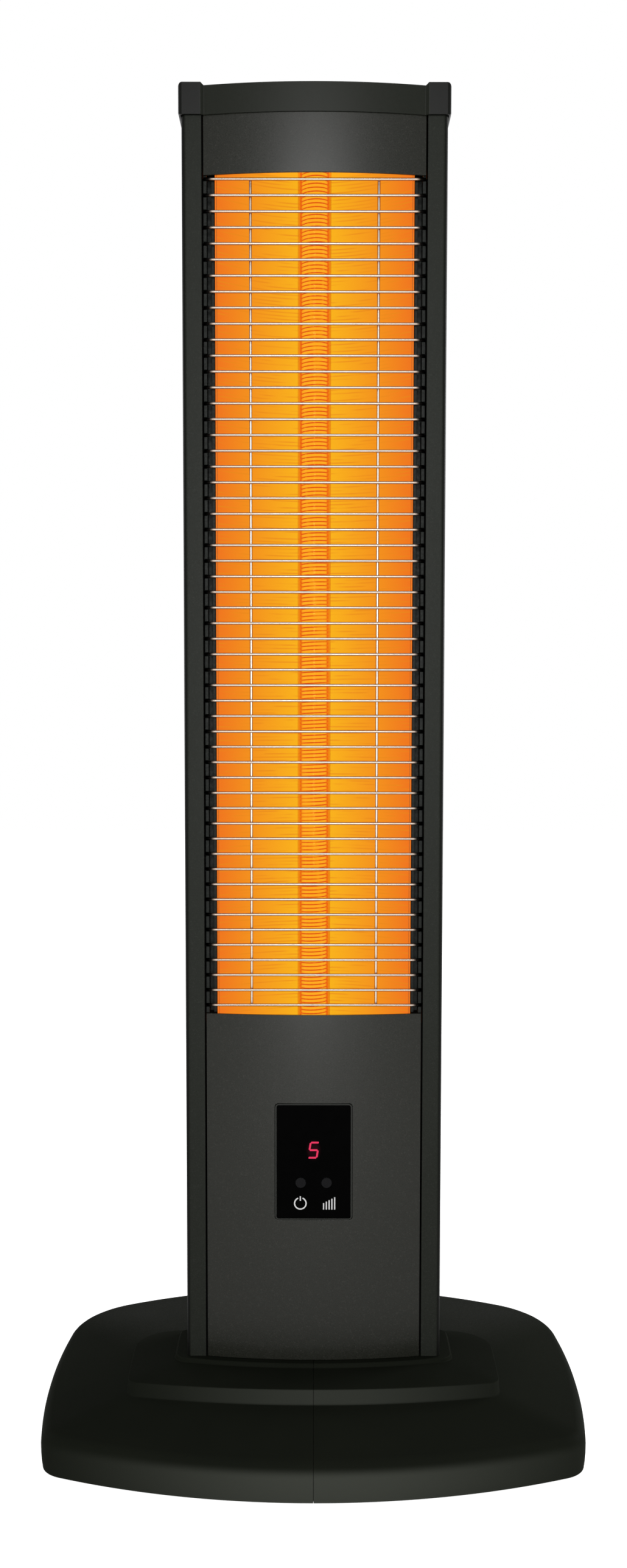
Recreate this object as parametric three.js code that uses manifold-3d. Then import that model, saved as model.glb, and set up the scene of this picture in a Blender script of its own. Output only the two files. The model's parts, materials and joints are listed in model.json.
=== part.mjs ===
// A floor-standing infrared tower heater: a column with a wound heating element behind a wire
// guard, on a moulded base in two halves. Lengths are in millimetres, +Z is up and the front
// faces -Y. The origin lies on the floor, under the middle of the base.

import * as THREE from 'three';
import { mergeVertices } from 'three/addons/utils/BufferGeometryUtils.js';
import Module from 'manifold-3d';

const wasm = await Module();
wasm.setup();

// Fits shared by all pieces
const seatGap = 0.3; // air between two pieces that rest on each other
const overrun = 2; // how far a cutter passes the surface that it cuts
const weldTolerance = 0.0005; // corners nearer than this are one corner
const roundSegments = 12; // sides of turned pieces
const screwSegments = 8; // sides of screws, their holes and posts

// Base outline: three large arcs a side, joined by rounded corners
const baseWidth = 344;
const baseDepth = 294;
const baseFrontRadius = 484;
const baseSideRadius = 444;
const baseRearRadius = 280;
const baseSideMiddle = 130.5; // front edge back to the widest place
const baseFrontCorner = 20;
const baseRearCorner = 50;

// Base section
const baseWall = 2.6;
const baseSeam = 0.3;
const rimClearance = 1.5; // floor to the rim's lower edge
const rimHeight = 14.5; // straight part of the rim
const rimShoulder = 7; // radius between rim and top
const ribThickness = 2;
const ribClearance = 2.5; // rim's lower edge up to the ribs
const outerShoulderShares = [0, 0.45, 0.88];
const innerShoulderShares = [0, 0.8];

// Platform tier on the base
const platformWidth = 231;
const platformFront = 57.8; // base front edge back to the platform's front wall
const platformDepth = 98.2;
const platformFrontRadius = 440;
const platformSideRadius = 1500;
const platformRearRadius = 900;
const platformFrontCorner = 8;
const platformRearCorner = 28;
const platformFootFront = 34; // height of the wall's foot at the front
const platformFootRear = 43.6;
const platformTopFront = 44;
const platformTopRear = 44.8;
const platformChamfer = 0.8;
const platformDraft = 0.6; // how far the wall leans out at its foot

// Collar round the column's foot
const collarSide = 8; // beyond the column on each side
const collarFront = 5.6; // beyond the crown of the front panel
const collarRear = 2.2;
const collarFrontRadius = 364;
const collarSideRadius = 1500;
const collarRearRadius = 1500;
const collarFrontCorner = 9;
const collarRearCorner = 9;
const collarRise = 2.3;
const collarFoot = 45.2; // height of the platform at the collar
const collarChamfer = 0.8;
const openingWidth = 80; // hole in the base under the column
const openingDepth = 22;
const openingCorner = 5;

// Column
const columnWidth = 160;
const columnDepth = 48;
const columnSetback = 100; // base front edge back to the column's face
const lowerPanelHeight = 219.6;
const windowHeight = 508.4;
const headerHeight = 34.7; // the part of the header panel that shows
const capLap = 4.5; // column hidden inside the top cap

// Side profiles
const profileFace = 12.2;
const profileWall = 1.8;
const profileFrontRadius = 3;
const profileRearRadius = 1.5;

// Curved front panels
const panelSeam = 0.8; // dark gap between panel and profile
const panelEdgeRecess = 0.5;
const panelCrown = 6.7; // middle proud of the edges
const panelThickness = 1.8;
const panelFlangeDepth = 9;
const panelFlangeThickness = 1.6;
const panelBeadWidth = 2;
const panelSteps = 8; // halves of the curve, each in so many chords
const boardPostRadius = 2.8;
const boardPostInset = 6; // from the control board's edges

// Rear covers
const coverThickness = 1.4;
const coverInset = 1;
const serviceCoverHeight = 190;
const ventRows = 7;
const ventWidth = 52;
const ventHeight = 4;
const ventPitch = 66;
const ventGap = 14; // between the two columns of slots
const ventTopMargin = 60;

// Screws through the rear covers
const coverScrewShank = 1.4;
const coverScrewHead = 3.3;
const coverScrewHeadHeight = 2.2;
const coverScrewGrip = 2.4; // shank past the profile's wall
const coverScrewMargin = 14; // from a cover's end to its screws

// Top cap
const capHeight = 17.1;
const capSide = 1.7; // overhang past the column on each side
const capProud = 1.2; // in front of the header panel
const capRear = 1.6;
const capBlockRise = 1.5; // corner blocks above the middle
const capBlockProud = 1.3; // corner blocks in front of the middle's ends
const capBlockSlope = 1.8; // width of the slope between them
const capBlockInset = 1.4; // slope starts this far inside the profile's inner edge
const capCornerRadius = 2.4;
const capChamferWidth = 1.1;
const capChamferHeight = 3.5;
const capWall = 2.2;
const capPegLength = 12;
const capPegInset = 8;

// Wire guard
const wireCount = 54;
const wireRadius = 0.85;
const wireSides = 5;
const wireDepth = 1.2; // column's face back to the wires' middle
const firstWireDrop = 2; // header panel down to the first wire
const lastWireRise = 5.1; // lower panel up to the last wire
const wireBendInset = 4.8; // from a wire's end in to its bend
const wireEndDepth = 4.7; // how far the ends bend back
const uprightSpacing = 79;
const weldDepth = 0.2;

// Grille channels beside the window
const channelWidth = 7;
const channelFront = 1.5; // column's face back to the notched wall
const channelBack = 11.6;
const channelFloor = 1.6;
const channelOuterWall = 2;
const channelInnerWall = 1.8;
const channelInnerFront = 3.5;
const channelReveal = 0.5; // how far the notched wall stands off the profile
const channelRevealDepth = 6;

// Reflector
const reflectorThickness = 0.8;
const reflectorFront = 4;
const reflectorHem = 6.5;
const reflectorBack = 38; // depth of the trough's inner face
const reflectorLap = 10; // hidden behind each panel
const reflectorSteps = 18;

// Quartz tube and the ceramic caps at its ends
const elementDepth = 19;
const tubeRadius = 10.3;
const tubeWall = 1.3;
const tubeSegments = 16;
const ceramicRadius = 13;
const ceramicLength = 16;
const ceramicPocket = 8;
const ceramicClearance = 0.4;
const ceramicRim = 1.2; // chamfer of the cap's closed end

// Heating coil
const coilTurns = 48;
const coilSteps = 8;
const coilSides = 5;
const coilWireRadius = 1.55;
const coilGlassGap = 0.7;
const coilBendSteps = 2;

// End plates that carry the reflector and the tube
const plateThickness = 1.2;
const plateFront = 3.6;
const plateBack = 40;
const plateFrontInset = 3.8; // narrower in front, beside the panel's flanges
const plateFlangeHeight = 8;
const plateHoleClearance = 0.5;

// Display window and its bezel
const displayDrop = 92.7; // top of the lower panel down to the window's middle
const windowPaneWidth = 45.9;
const windowPaneHeight = 71.5;
const windowPaneCorner = 1.2;
const windowPaneThickness = 2.5;
const windowPaneRecess = 0.6; // behind the crown of the panel
const bezelRim = 0.65;
const bezelProud = 0.3;
const bezelFlange = 4.2; // beyond the rim on each side
const bezelLedge = 2; // how far the flange reaches behind the pane
const bezelThickness = 1.2;

// Buttons in the pane, their stems and the switches behind
const buttonSpacing = 16.2;
const buttonDrop = 13.4; // below the pane's middle
const buttonRadius = 3.4;
const buttonGap = 0.3;
const buttonCrown = 0.25;
const buttonFlangeRadius = 4.6;
const buttonFlangeThickness = 1.2;
const buttonStemRadius = 1.7;
const buttonStemLength = 2;
const buttonTravel = 0.6;
const buttonSegments = 12;
const switchSize = 6;
const switchHeight = 3.2;
const switchStemRadius = 1.5;
const switchStemSunk = 1;

// Control board and what it carries
const boardThickness = 1.6;
const controlBoardWidth = 62;
const controlBoardHeight = 110;
const controlBoardGap = 8.6; // back of the pane to the board
const digitWidth = 10;
const digitHeight = 13;
const digitRise = 7.5; // above the pane's middle
const digitChamfer = 0.6;
const receiverRise = 26;
const receiverWidth = 6;
const receiverHeight = 7;
const receiverDome = 2.4;

// Power board and what it carries
const powerBoardDepth = 28;
const powerBoardWidth = 90;
const powerBoardHeight = 120;
const powerBoardBottom = 70;
const powerPostRadius = 3;
const powerPostInset = 7;
const sinkBase = 4;
const sinkLength = 34;
const sinkDepth = 17.7;
const sinkHeight = 50;
const sinkFins = 5;
const sinkFinThickness = 1.5;
const sinkLeft = -38;
const sinkRise = 14;
const triacWidth = 10;
const triacHeight = 15;
const triacBody = 9.5;
const triacThickness = 4.5;
const triacTab = 1.3;
const triacRise = 18;
const relayWidth = 19;
const relayDepth = 15.5;
const relayHeight = 26;
const relayLeft = 8;
const relayRise = 14;
const relayChamfer = 1;
const terminalWidth = 28;
const terminalDepth = 14.7;
const terminalHeight = 16;
const terminalTopMargin = 2;
const terminalWays = 3;
const terminalWayDepth = 6;
const terminalWayWidth = 5;
const tiltSwitchRadius = 6.5;
const tiltSwitchHeight = 15;
const tiltSwitchLeft = 18;
const tiltSwitchRise = 52;
const cutoutRadius = 8;
const cutoutHeight = 6.2;
const cutoutFlange = 9.5;
const cutoutFlangeThickness = 1;
const cutoutRise = 60; // above the lower end of the reflector

// Element leads
const leadRadius = 1.3;
const leadSides = 6;
const leadStepsPerPoint = 2;
const leadDepth = 43;
const leadOffset = 30;
const leadTerminalSpacing = 14;
const leadStub = 8;
const leadReach = 5;

// Cord gland in the service cover
const glandBore = 3.7;
const glandNeck = 7;
const glandFlange = 10;
const glandFlangeThickness = 3;
const glandNose = 11;
const glandNoseRadius = 5.8;
const glandClipRadius = 8.4;
const glandClipThickness = 2;
const glandRise = 24; // above the column's foot

// Foot bracket, clamp plate and base screws
const bracketThickness = 2.5;
const bracketHeight = 40;
const bracketFront = 10.8;
const bracketBack = 40;
const bracketScrewRise = 26;
const bracketScrewHead = 3.6;
const bracketScrewShank = 1.8;
const bracketScrewGrip = 2;
const bracketScrewHeadHeight = 2.4;
const clampWidth = 144;
const clampDepth = 42;
const clampThickness = 3;
const clampCorner = 6;
const baseScrewShank = 2.4;
const baseScrewHead = 4.4;
const baseScrewHeadHeight = 3;
const baseScrewEndInset = 16; // from the clamp plate's ends and sides in to the screws
const baseScrewSideInset = 11;
const baseScrewOut = 1.2; // shank above the bracket's web

// Rubber feet
const footRadius = 11;
const footHeight = 4.2;
const footChamfer = 1;
const footSpacingX = 238;
const footFrontInset = 46; // base front edge back to the front feet
const footRearInset = 70;
const footPillarWall = 2;

// Places worked out from the sizes above
const baseFrontY = -baseDepth / 2;
const columnFaceY = baseFrontY + columnSetback;
const columnMiddleY = columnFaceY + columnDepth / 2;
const collarTop = collarFoot + collarRise;
const columnBottom = collarTop + seatGap;
const lowerPanelTop = columnBottom + lowerPanelHeight;
const headerBottom = lowerPanelTop + windowHeight;
const capBottom = headerBottom + headerHeight;
const columnTop = capBottom + capLap;
const capTop = capBottom + capHeight;
const profileDepth = columnDepth - coverThickness - seatGap;
const profileInner = columnWidth / 2 - profileFace;
const panelHalf = profileInner - panelSeam;
const panelRadius = (panelHalf ** 2 + panelCrown ** 2) / (2 * panelCrown);
const panelCrownY = panelEdgeRecess - panelCrown;
const panelCentreY = panelCrownY + panelRadius;
const channelOuter = profileInner - seatGap;
const channelInner = channelOuter - channelWidth;
const reflectorHalf = channelInner - seatGap;
const reflectorBottom = lowerPanelTop - reflectorLap;
const reflectorTop = headerBottom + reflectorLap;
const displayZ = lowerPanelTop - displayDrop;
const paneFront = panelCrownY + windowPaneRecess;
const paneBack = paneFront + windowPaneThickness;
const controlBoardY = paneBack + controlBoardGap;
const coverY = columnDepth - coverThickness;
const serviceCoverTop = columnBottom + serviceCoverHeight;

// Finishes
const darkCoat = { color: 0x31342f, roughness: 0.55, metalness: 0.35 };
const panelCoat = { color: 0x3c3d39, roughness: 0.5, metalness: 0.35 };
const blackMoulding = { color: 0x1c1e1c, roughness: 0.6, metalness: 0 };
const blackChannel = { color: 0x222322, roughness: 0.5, metalness: 0.4 };
const zincSheet = { color: 0xb4b8bb, roughness: 0.4, metalness: 0.9 };
const wireChrome = { color: 0xe8e6e2, roughness: 0.2, metalness: 1 };
const warmReflector = { color: 0xf5a01e, roughness: 0.25, metalness: 0.8 };
const glowingCoil = { color: 0xff8c1a, roughness: 0.6, metalness: 0.2, emissive: 0xd25a0a };
const quartz = { color: 0xf2d8b0, roughness: 0.05, metalness: 0, transparent: true, opacity: 0.3 };
const ceramic = { color: 0xe9e4d8, roughness: 0.8, metalness: 0 };
const smokedPane = { color: 0x050506, roughness: 0.08, metalness: 0 };
const boardGreen = { color: 0x1f5a36, roughness: 0.6, metalness: 0.1 };
const componentBlack = { color: 0x1a1a1c, roughness: 0.5, metalness: 0 };
const terminalWhite = { color: 0xdedcd3, roughness: 0.6, metalness: 0 };
const buttonClear = { color: 0x2a2a2c, roughness: 0.3, metalness: 0 };
const darkRubber = { color: 0x161616, roughness: 0.9, metalness: 0 };
const siliconeLead = { color: 0xc8452c, roughness: 0.7, metalness: 0 };
const blackScrew = { color: 0x26272a, roughness: 0.35, metalness: 0.9 };

// The scene: the column's group has y = 0 on the face of its profiles, the display's group has
// z = 0 at the middle of its pane, and everything else counts from the origin.
const heater = new THREE.Group();
const column = new THREE.Group();
const display = new THREE.Group();
column.position.y = columnFaceY;
display.position.z = displayZ;
column.add(display);
heater.add(column);

// Geometry with only positions, shared corners and faces that point out
function closed(geometry) {
	const bare = new THREE.BufferGeometry();
	bare.setAttribute('position', geometry.attributes.position);
	bare.setIndex(geometry.index);
	const merged = mergeVertices(bare, weldTolerance);
	const at = merged.attributes.position;
	const corners = [new THREE.Vector3(), new THREE.Vector3(), new THREE.Vector3()];
	const faces = [];
	let volume = 0;
	for (let i = 0; i < merged.index.count; i += 3) {
		const face = [0, 1, 2].map((k) => merged.index.getX(i + k));
		if (new Set(face).size < 3) continue;
		faces.push(face);
		corners.forEach((corner, k) => corner.fromBufferAttribute(at, face[k]));
		volume += corners[0].dot(corners[1].cross(corners[2]));
	}
	merged.setIndex(faces.flatMap(([a, b, c]) => (volume < 0 ? [b, a, c] : [a, b, c])));
	return merged;
}

// Between three.js geometry and solids that can be joined and cut
function solid(geometry) {
	const merged = closed(geometry);
	return new wasm.Manifold(new wasm.Mesh({
		numProp: 3,
		vertProperties: merged.attributes.position.array,
		triVerts: new Uint32Array(merged.index.array),
	}));
}

function geometryOf(made) {
	const mesh = made.getMesh();
	const geometry = new THREE.BufferGeometry();
	geometry.setAttribute('position', new THREE.BufferAttribute(mesh.vertProperties, 3));
	geometry.setIndex(new THREE.BufferAttribute(mesh.triVerts, 1));
	return geometry;
}

const joined = (first, ...others) => geometryOf(others.reduce((a, b) => a.add(solid(b)), solid(first)));
const cut = (first, ...others) => geometryOf(others.reduce((a, b) => a.subtract(solid(b)), solid(first)));
const common = (first, other) => geometryOf(solid(first).intersect(solid(other)));
const mirrored = (geometry) => closed(geometry.clone().scale(-1, 1, 1));

function add(parent, name, geometry, finish, place = [0, 0, 0]) {
	const shown = closed(geometry);
	shown.computeVertexNormals();
	const mesh = new THREE.Mesh(shown, new THREE.MeshStandardMaterial(finish));
	mesh.name = name;
	mesh.position.set(...place);
	parent.add(mesh);
}

// Outlines
function polygon(points) {
	return new THREE.Shape(points.map(([x, y]) => new THREE.Vector2(x, y)));
}

function rectangle(x0, x1, y0, y1) {
	return polygon([[x0, y0], [x1, y0], [x1, y1], [x0, y1]]);
}

function roundedRectangle(x0, x1, y0, y1, radius) {
	const shape = new THREE.Shape();
	shape.absarc(x1 - radius, y0 + radius, radius, -Math.PI / 2, 0);
	shape.absarc(x1 - radius, y1 - radius, radius, 0, Math.PI / 2);
	shape.absarc(x0 + radius, y1 - radius, radius, Math.PI / 2, Math.PI);
	shape.absarc(x0 + radius, y0 + radius, radius, Math.PI, 1.5 * Math.PI);
	return shape;
}

// Extrusions along each axis: the outline is drawn in the other two, in X, Y, Z order
function extrudeZ(shape, z0, z1, curveSegments = 6) {
	const geometry = new THREE.ExtrudeGeometry(shape, { depth: z1 - z0, bevelEnabled: false, curveSegments });
	return geometry.translate(0, 0, z0);
}

function extrudeY(shape, y0, y1, curveSegments = 6) {
	return extrudeZ(shape, 0, y1 - y0, curveSegments).rotateX(Math.PI / 2).translate(0, y1, 0);
}

function extrudeX(shape, x0, x1, curveSegments = 6) {
	const turn = new THREE.Matrix4().makeBasis(
		new THREE.Vector3(0, 1, 0), new THREE.Vector3(0, 0, 1), new THREE.Vector3(1, 0, 0));
	return extrudeZ(shape, x0, x1, curveSegments).applyMatrix4(turn);
}

const box = (x0, x1, y0, y1, z0, z1) => extrudeZ(rectangle(x0, x1, y0, y1), z0, z1);

// Turned pieces: the profile is a list of radius and height, closed on the axis or on itself
function latheY(profile, segments = roundSegments) {
	return new THREE.LatheGeometry(profile.map(([r, h]) => new THREE.Vector2(r, h)), segments);
}

const latheZ = (profile, segments = roundSegments) => latheY(profile, segments).rotateX(Math.PI / 2);
const latheX = (profile, segments = roundSegments) => latheY(profile, segments).rotateZ(-Math.PI / 2);
const rod = (radius, h0, h1) => [[0, h0], [radius, h0], [radius, h1], [0, h1]];
const ring = (inner, outer, h0, h1) => [[inner, h0], [outer, h0], [outer, h1], [inner, h1], [inner, h0]];

// A closed solid through rings of points that all have the same count; the cap's triangles index
// one ring and close the first and the last
function loft(rings, cap) {
	const count = rings[0].length;
	const index = [];
	for (let i = 0; i + 1 < rings.length; i++) {
		for (let j = 0; j < count; j++) {
			const a = i * count + j;
			const b = i * count + (j + 1) % count;
			index.push(a, a + count, b + count, a, b + count, b);
		}
	}
	const last = (rings.length - 1) * count;
	for (const [a, b, c] of cap) {
		index.push(a, b, c, last + a, last + c, last + b);
	}
	const geometry = new THREE.BufferGeometry().setFromPoints(rings.flat());
	geometry.setIndex(index);
	return geometry;
}

const fan = (count) => Array.from({ length: count - 2 }, (_, i) => [0, i + 1, i + 2]);

// Triangles over an outline, wound the way that the outline runs
function tiled(outline) {
	const wound = Math.sign(THREE.ShapeUtils.area(outline));
	return THREE.ShapeUtils.triangulateShape(outline, []).map(([a, b, c]) => {
		const turn = Math.sign(THREE.ShapeUtils.area([outline[a], outline[b], outline[c]]));
		return turn === wound ? [a, b, c] : [a, c, b];
	});
}

// Base halves

// The circle of a given radius that touches two larger circles from inside, on the right side
function filletInside(first, second, radius) {
	const r1 = first.radius - radius;
	const r2 = second.radius - radius;
	const apart = second.centre.clone().sub(first.centre);
	const along = (r1 ** 2 - r2 ** 2 + apart.lengthSq()) / (2 * apart.length());
	const across = Math.sqrt(r1 ** 2 - along ** 2);
	const axis = apart.clone().normalize();
	const foot = first.centre.clone().addScaledVector(axis, along);
	const normal = new THREE.Vector2(-axis.y, axis.x);
	const sides = [across, -across].map((s) => foot.clone().addScaledVector(normal, s));
	const centre = sides[0].x > sides[1].x ? sides[0] : sides[1];
	const touch = ({ centre: c, radius: r }) => centre.clone().sub(c).setLength(r).add(c);
	return { centre, radius, from: touch(first), to: touch(second) };
}

// Points along a circle from one point on it to another, the last one left out
function arcPoints({ centre, radius }, from, to, steps) {
	const start = from.clone().sub(centre).angle();
	const swing = to.clone().sub(centre).angle() - start;
	const turn = Math.atan2(Math.sin(swing), Math.cos(swing));
	return Array.from({ length: steps }, (_, i) =>
		new THREE.Vector2(radius, 0).rotateAround(new THREE.Vector2(), start + turn * i / steps).add(centre));
}

// The right half of a bowed outline, from the middle of its front to the middle of its rear: a front,
// a side and a rear arc with a corner between each two
const outlineSteps = [4, 3, 4, 4, 3];

function bowedOutline(o, inset) {
	const circle = (x, y, radius) => ({ centre: new THREE.Vector2(x, y), radius: radius - inset });
	const front = circle(0, o.front + o.frontRadius, o.frontRadius);
	const side = circle(o.width / 2 - o.sideRadius, o.sideMiddle, o.sideRadius);
	const rear = circle(0, o.rear - o.rearRadius, o.rearRadius);
	const frontCorner = filletInside(front, side, o.frontCorner - inset);
	const rearCorner = filletInside(side, rear, o.rearCorner - inset);
	const stops = [
		new THREE.Vector2(0, o.front + inset), frontCorner.from, frontCorner.to, rearCorner.from, rearCorner.to,
		new THREE.Vector2(0, o.rear - inset),
	];
	const arcs = [front, frontCorner, side, rearCorner, rear];
	return [...arcs.flatMap((arc, i) => arcPoints(arc, stops[i], stops[i + 1], outlineSteps[i])), stops[5]];
}

const baseOutline = {
	width: baseWidth - baseSeam, front: baseFrontY, rear: baseFrontY + baseDepth,
	frontRadius: baseFrontRadius, sideRadius: baseSideRadius, rearRadius: baseRearRadius,
	sideMiddle: baseFrontY + baseSideMiddle, frontCorner: baseFrontCorner, rearCorner: baseRearCorner,
};
const platformOutline = {
	width: platformWidth - baseSeam, front: baseFrontY + platformFront,
	rear: baseFrontY + platformFront + platformDepth,
	frontRadius: platformFrontRadius, sideRadius: platformSideRadius, rearRadius: platformRearRadius,
	sideMiddle: columnMiddleY, frontCorner: platformFrontCorner, rearCorner: platformRearCorner,
};
const collarOutline = {
	width: columnWidth + 2 * collarSide - baseSeam, front: columnFaceY + panelCrownY - collarFront,
	rear: columnFaceY + columnDepth + collarRear,
	frontRadius: collarFrontRadius, sideRadius: collarSideRadius, rearRadius: collarRearRadius,
	sideMiddle: columnMiddleY, frontCorner: collarFrontCorner, rearCorner: collarRearCorner,
};
const openingOutline = {
	width: openingWidth - baseSeam, front: columnMiddleY - openingDepth / 2,
	rear: columnMiddleY + openingDepth / 2,
	frontRadius: collarSideRadius, sideRadius: collarSideRadius, rearRadius: collarSideRadius,
	sideMiddle: columnMiddleY, frontCorner: openingCorner, rearCorner: openingCorner,
};

// Height that slopes evenly from the platform's front to its rear
function slope(front, rear) {
	return (y) => {
		const share = (y - platformOutline.front) / (platformOutline.rear - platformOutline.front);
		return front + (rear - front) * Math.min(Math.max(share, 0), 1);
	};
}

const flat = (height) => () => height;

// The right half of a solid through levels, each an outline and a height over it
function halfLoft(levels) {
	const rings = levels[0][0].map((_, i) => levels.map(([points, height]) => {
		const { x, y } = points[i];
		return new THREE.Vector3(x, y, height(y));
	}));
	const section = rings[0].map((p) => new THREE.Vector2(columnMiddleY - p.y, p.z));
	return loft(rings, tiled(section)).translate(baseSeam / 2, 0, 0);
}

// Levels of the base's skin at a depth under its surface, from the rim up to the opening, with the
// rim's shoulder at shares of its right angle
function skinLevels(depth, shoulderShares) {
	const at = (outline, inset, height) => [bowedOutline(outline, inset + depth), height];
	const top = [platformTopFront - depth, platformTopRear - depth];
	const shoulder = shoulderShares.map((share) => {
		const turn = share * Math.PI / 2;
		const radius = rimShoulder - depth;
		return at(baseOutline, radius * (1 - Math.cos(turn)),
			flat(rimClearance + rimHeight + radius * Math.sin(turn)));
	});
	return [
		at(baseOutline, 0, flat(rimClearance)),
		...shoulder,
		at(platformOutline, -platformDraft, slope(platformFootFront - depth, platformFootRear - depth)),
		at(platformOutline, 0, slope(top[0] - platformChamfer, top[1] - platformChamfer / 2)),
		at(platformOutline, platformChamfer, slope(...top)),
		at(collarOutline, 0, flat(collarFoot - depth)),
		at(collarOutline, collarChamfer, flat(collarTop - depth)),
		[bowedOutline(openingOutline, 0), flat(collarTop - depth)],
	];
}

function baseShell() {
	const inside = skinLevels(baseWall, innerShoulderShares).reverse();
	return halfLoft([...skinLevels(0, outerShoulderShares), ...inside]);
}

const footPlaces = [footFrontInset, baseDepth - footRearInset].map((inset) =>
	[footSpacingX / 2, baseFrontY + inset]);
const baseScrewPlaces = [-1, 1].map((side) =>
	[clampWidth / 2 - baseScrewEndInset, columnMiddleY + side * (clampDepth / 2 - baseScrewSideInset)]);

// Ribs and foot pillars under the shell, cut half-way into its wall
function baseStiffening() {
	const bottom = [bowedOutline(openingOutline, 0), flat(rimClearance)];
	const filled = halfLoft([...skinLevels(baseWall / 2, innerShoulderShares), bottom]);
	const low = rimClearance + ribClearance;
	const high = collarTop;
	const [[footX, frontY], [, rearY]] = footPlaces;
	const t = ribThickness / 2;
	const rimX = baseWidth / 2;
	const pillarRadius = footRadius + seatGap + footPillarWall;
	const parts = [
		box(baseSeam / 2, rimX, frontY - t, frontY + t, low, high),
		box(baseSeam / 2, rimX, rearY - t, rearY + t, low, high),
		box(footX - t, footX + t, baseFrontY, baseFrontY + baseDepth, low, high),
		box(baseSeam / 2, baseSeam / 2 + ribThickness, baseFrontY, frontY, low, high),
		box(baseSeam / 2, baseSeam / 2 + ribThickness, rearY, baseFrontY + baseDepth, low, high),
	];
	const pillars = footPlaces.map(([x, y]) =>
		latheZ(rod(pillarRadius, rimClearance, high)).translate(x, y, 0));
	return common(joined(...parts, ...pillars), filled);
}

function baseHalf() {
	const recesses = footPlaces.map(([x, y]) =>
		latheZ(rod(footRadius + seatGap, rimClearance - overrun, footHeight + seatGap))
			.translate(x, y, 0));
	const hole = rod(baseScrewShank + seatGap, collarTop - baseWall - overrun, collarTop + overrun);
	const holes = baseScrewPlaces.map(([x, y]) => latheZ(hole, screwSegments).translate(x, y, 0));
	return cut(joined(baseShell(), baseStiffening()), ...recesses, ...holes);
}

function buildBase() {
	const half = baseHalf();
	add(heater, 'base_right', half, blackMoulding);
	add(heater, 'base_left', mirrored(half), blackMoulding);
	const foot = [
		[0, 0], [footRadius - footChamfer, 0], [footRadius, footChamfer], [footRadius, footHeight],
		[0, footHeight],
	];
	const headTop = collarTop - baseWall - seatGap - clampThickness - seatGap;
	const screwTop = columnBottom + bracketThickness + baseScrewOut;
	const screw = [
		[0, headTop - baseScrewHeadHeight], [baseScrewHead, headTop - baseScrewHeadHeight],
		[baseScrewHead, headTop], [baseScrewShank, headTop], [baseScrewShank, screwTop], [0, screwTop],
	];
	for (const side of [-1, 1]) {
		const hand = side < 0 ? 'left' : 'right';
		footPlaces.forEach(([x, y], i) => {
			const name = `rubber_foot_${i ? 'rear' : 'front'}_${hand}`;
			add(heater, name, latheZ(foot), darkRubber, [side * x, y, 0]);
		});
		baseScrewPlaces.forEach(([x, y], i) => {
			const name = `base_screw_${i ? 'rear' : 'front'}_${hand}`;
			add(heater, name, latheZ(screw, screwSegments), blackScrew, [side * x, y, 0]);
		});
	}
	add(heater, 'clamp_plate', clampPlate(headTop + seatGap), zincSheet);
	add(column, 'foot_bracket', footBracket(), zincSheet);
}

// Steel plate that pulls the base halves against the bracket
function clampPlate(bottom) {
	const x = clampWidth / 2;
	const y = clampDepth / 2;
	const plate = extrudeZ(roundedRectangle(-x, x, columnMiddleY - y, columnMiddleY + y, clampCorner),
		bottom, bottom + clampThickness, 2);
	return cut(plate, ...screwHoles(bottom, columnMiddleY, baseScrewShank + seatGap));
}

function screwHoles(z, middleY, radius) {
	return [-1, 1].flatMap((side) => baseScrewPlaces.map(([x, y]) =>
		latheZ(rod(radius, z - overrun, z + clampThickness + overrun), screwSegments)
			.translate(side * x, y - columnMiddleY + middleY, 0)));
}

// Bent steel bracket: a web on the collar and a tab up each side profile
function footBracket() {
	const out = profileInner - seatGap;
	const inner = out - bracketThickness;
	const top = columnBottom + bracketHeight;
	const web = columnBottom + bracketThickness;
	const profile = polygon([
		[-out, columnBottom], [out, columnBottom], [out, top], [inner, top],
		[inner, web], [-inner, web], [-inner, top], [-out, top],
	]);
	const tabHoles = latheX(rod(bracketScrewShank + seatGap, -out - overrun, out + overrun), screwSegments)
		.translate(0, (bracketFront + bracketBack) / 2, columnBottom + bracketScrewRise);
	return cut(extrudeY(profile, bracketFront, bracketBack), tabHoles,
		...screwHoles(columnBottom, columnDepth / 2, baseScrewShank + seatGap));
}

// Column: side profiles, panels, covers and cap

function sideProfile() {
	const outer = columnWidth / 2;
	const shape = new THREE.Shape();
	shape.moveTo(profileInner, profileDepth);
	shape.lineTo(profileInner, 0);
	shape.absarc(outer - profileFrontRadius, profileFrontRadius, profileFrontRadius, -Math.PI / 2, 0);
	shape.absarc(outer - profileRearRadius, profileDepth - profileRearRadius, profileRearRadius,
		0, Math.PI / 2);
	shape.holes.push(rectangle(profileInner + profileWall, outer - profileWall,
		profileWall, profileDepth - profileWall));
	const bar = extrudeZ(shape, columnBottom, columnTop, 4);
	const rearHoles = coverScrewHeights().map((z) =>
		latheY(rod(coverScrewShank + seatGap, profileDepth - profileWall - overrun, profileDepth + overrun),
			screwSegments).translate(coverScrewX(), 0, z));
	const bracketHole = latheX(rod(bracketScrewShank + seatGap, profileInner - overrun,
		profileInner + profileWall + overrun), screwSegments)
		.translate(0, (bracketFront + bracketBack) / 2, columnBottom + bracketScrewRise);
	return cut(bar, ...rearHoles, bracketHole);
}

// Half-way across the hollow of the right profile
const coverScrewX = () => columnWidth / 2 - profileFace / 2;

function coverScrewHeights() {
	return [
		columnBottom + coverScrewMargin, serviceCoverTop - coverScrewMargin,
		serviceCoverTop + coverScrewMargin, capBottom - coverScrewMargin,
	];
}

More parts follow.
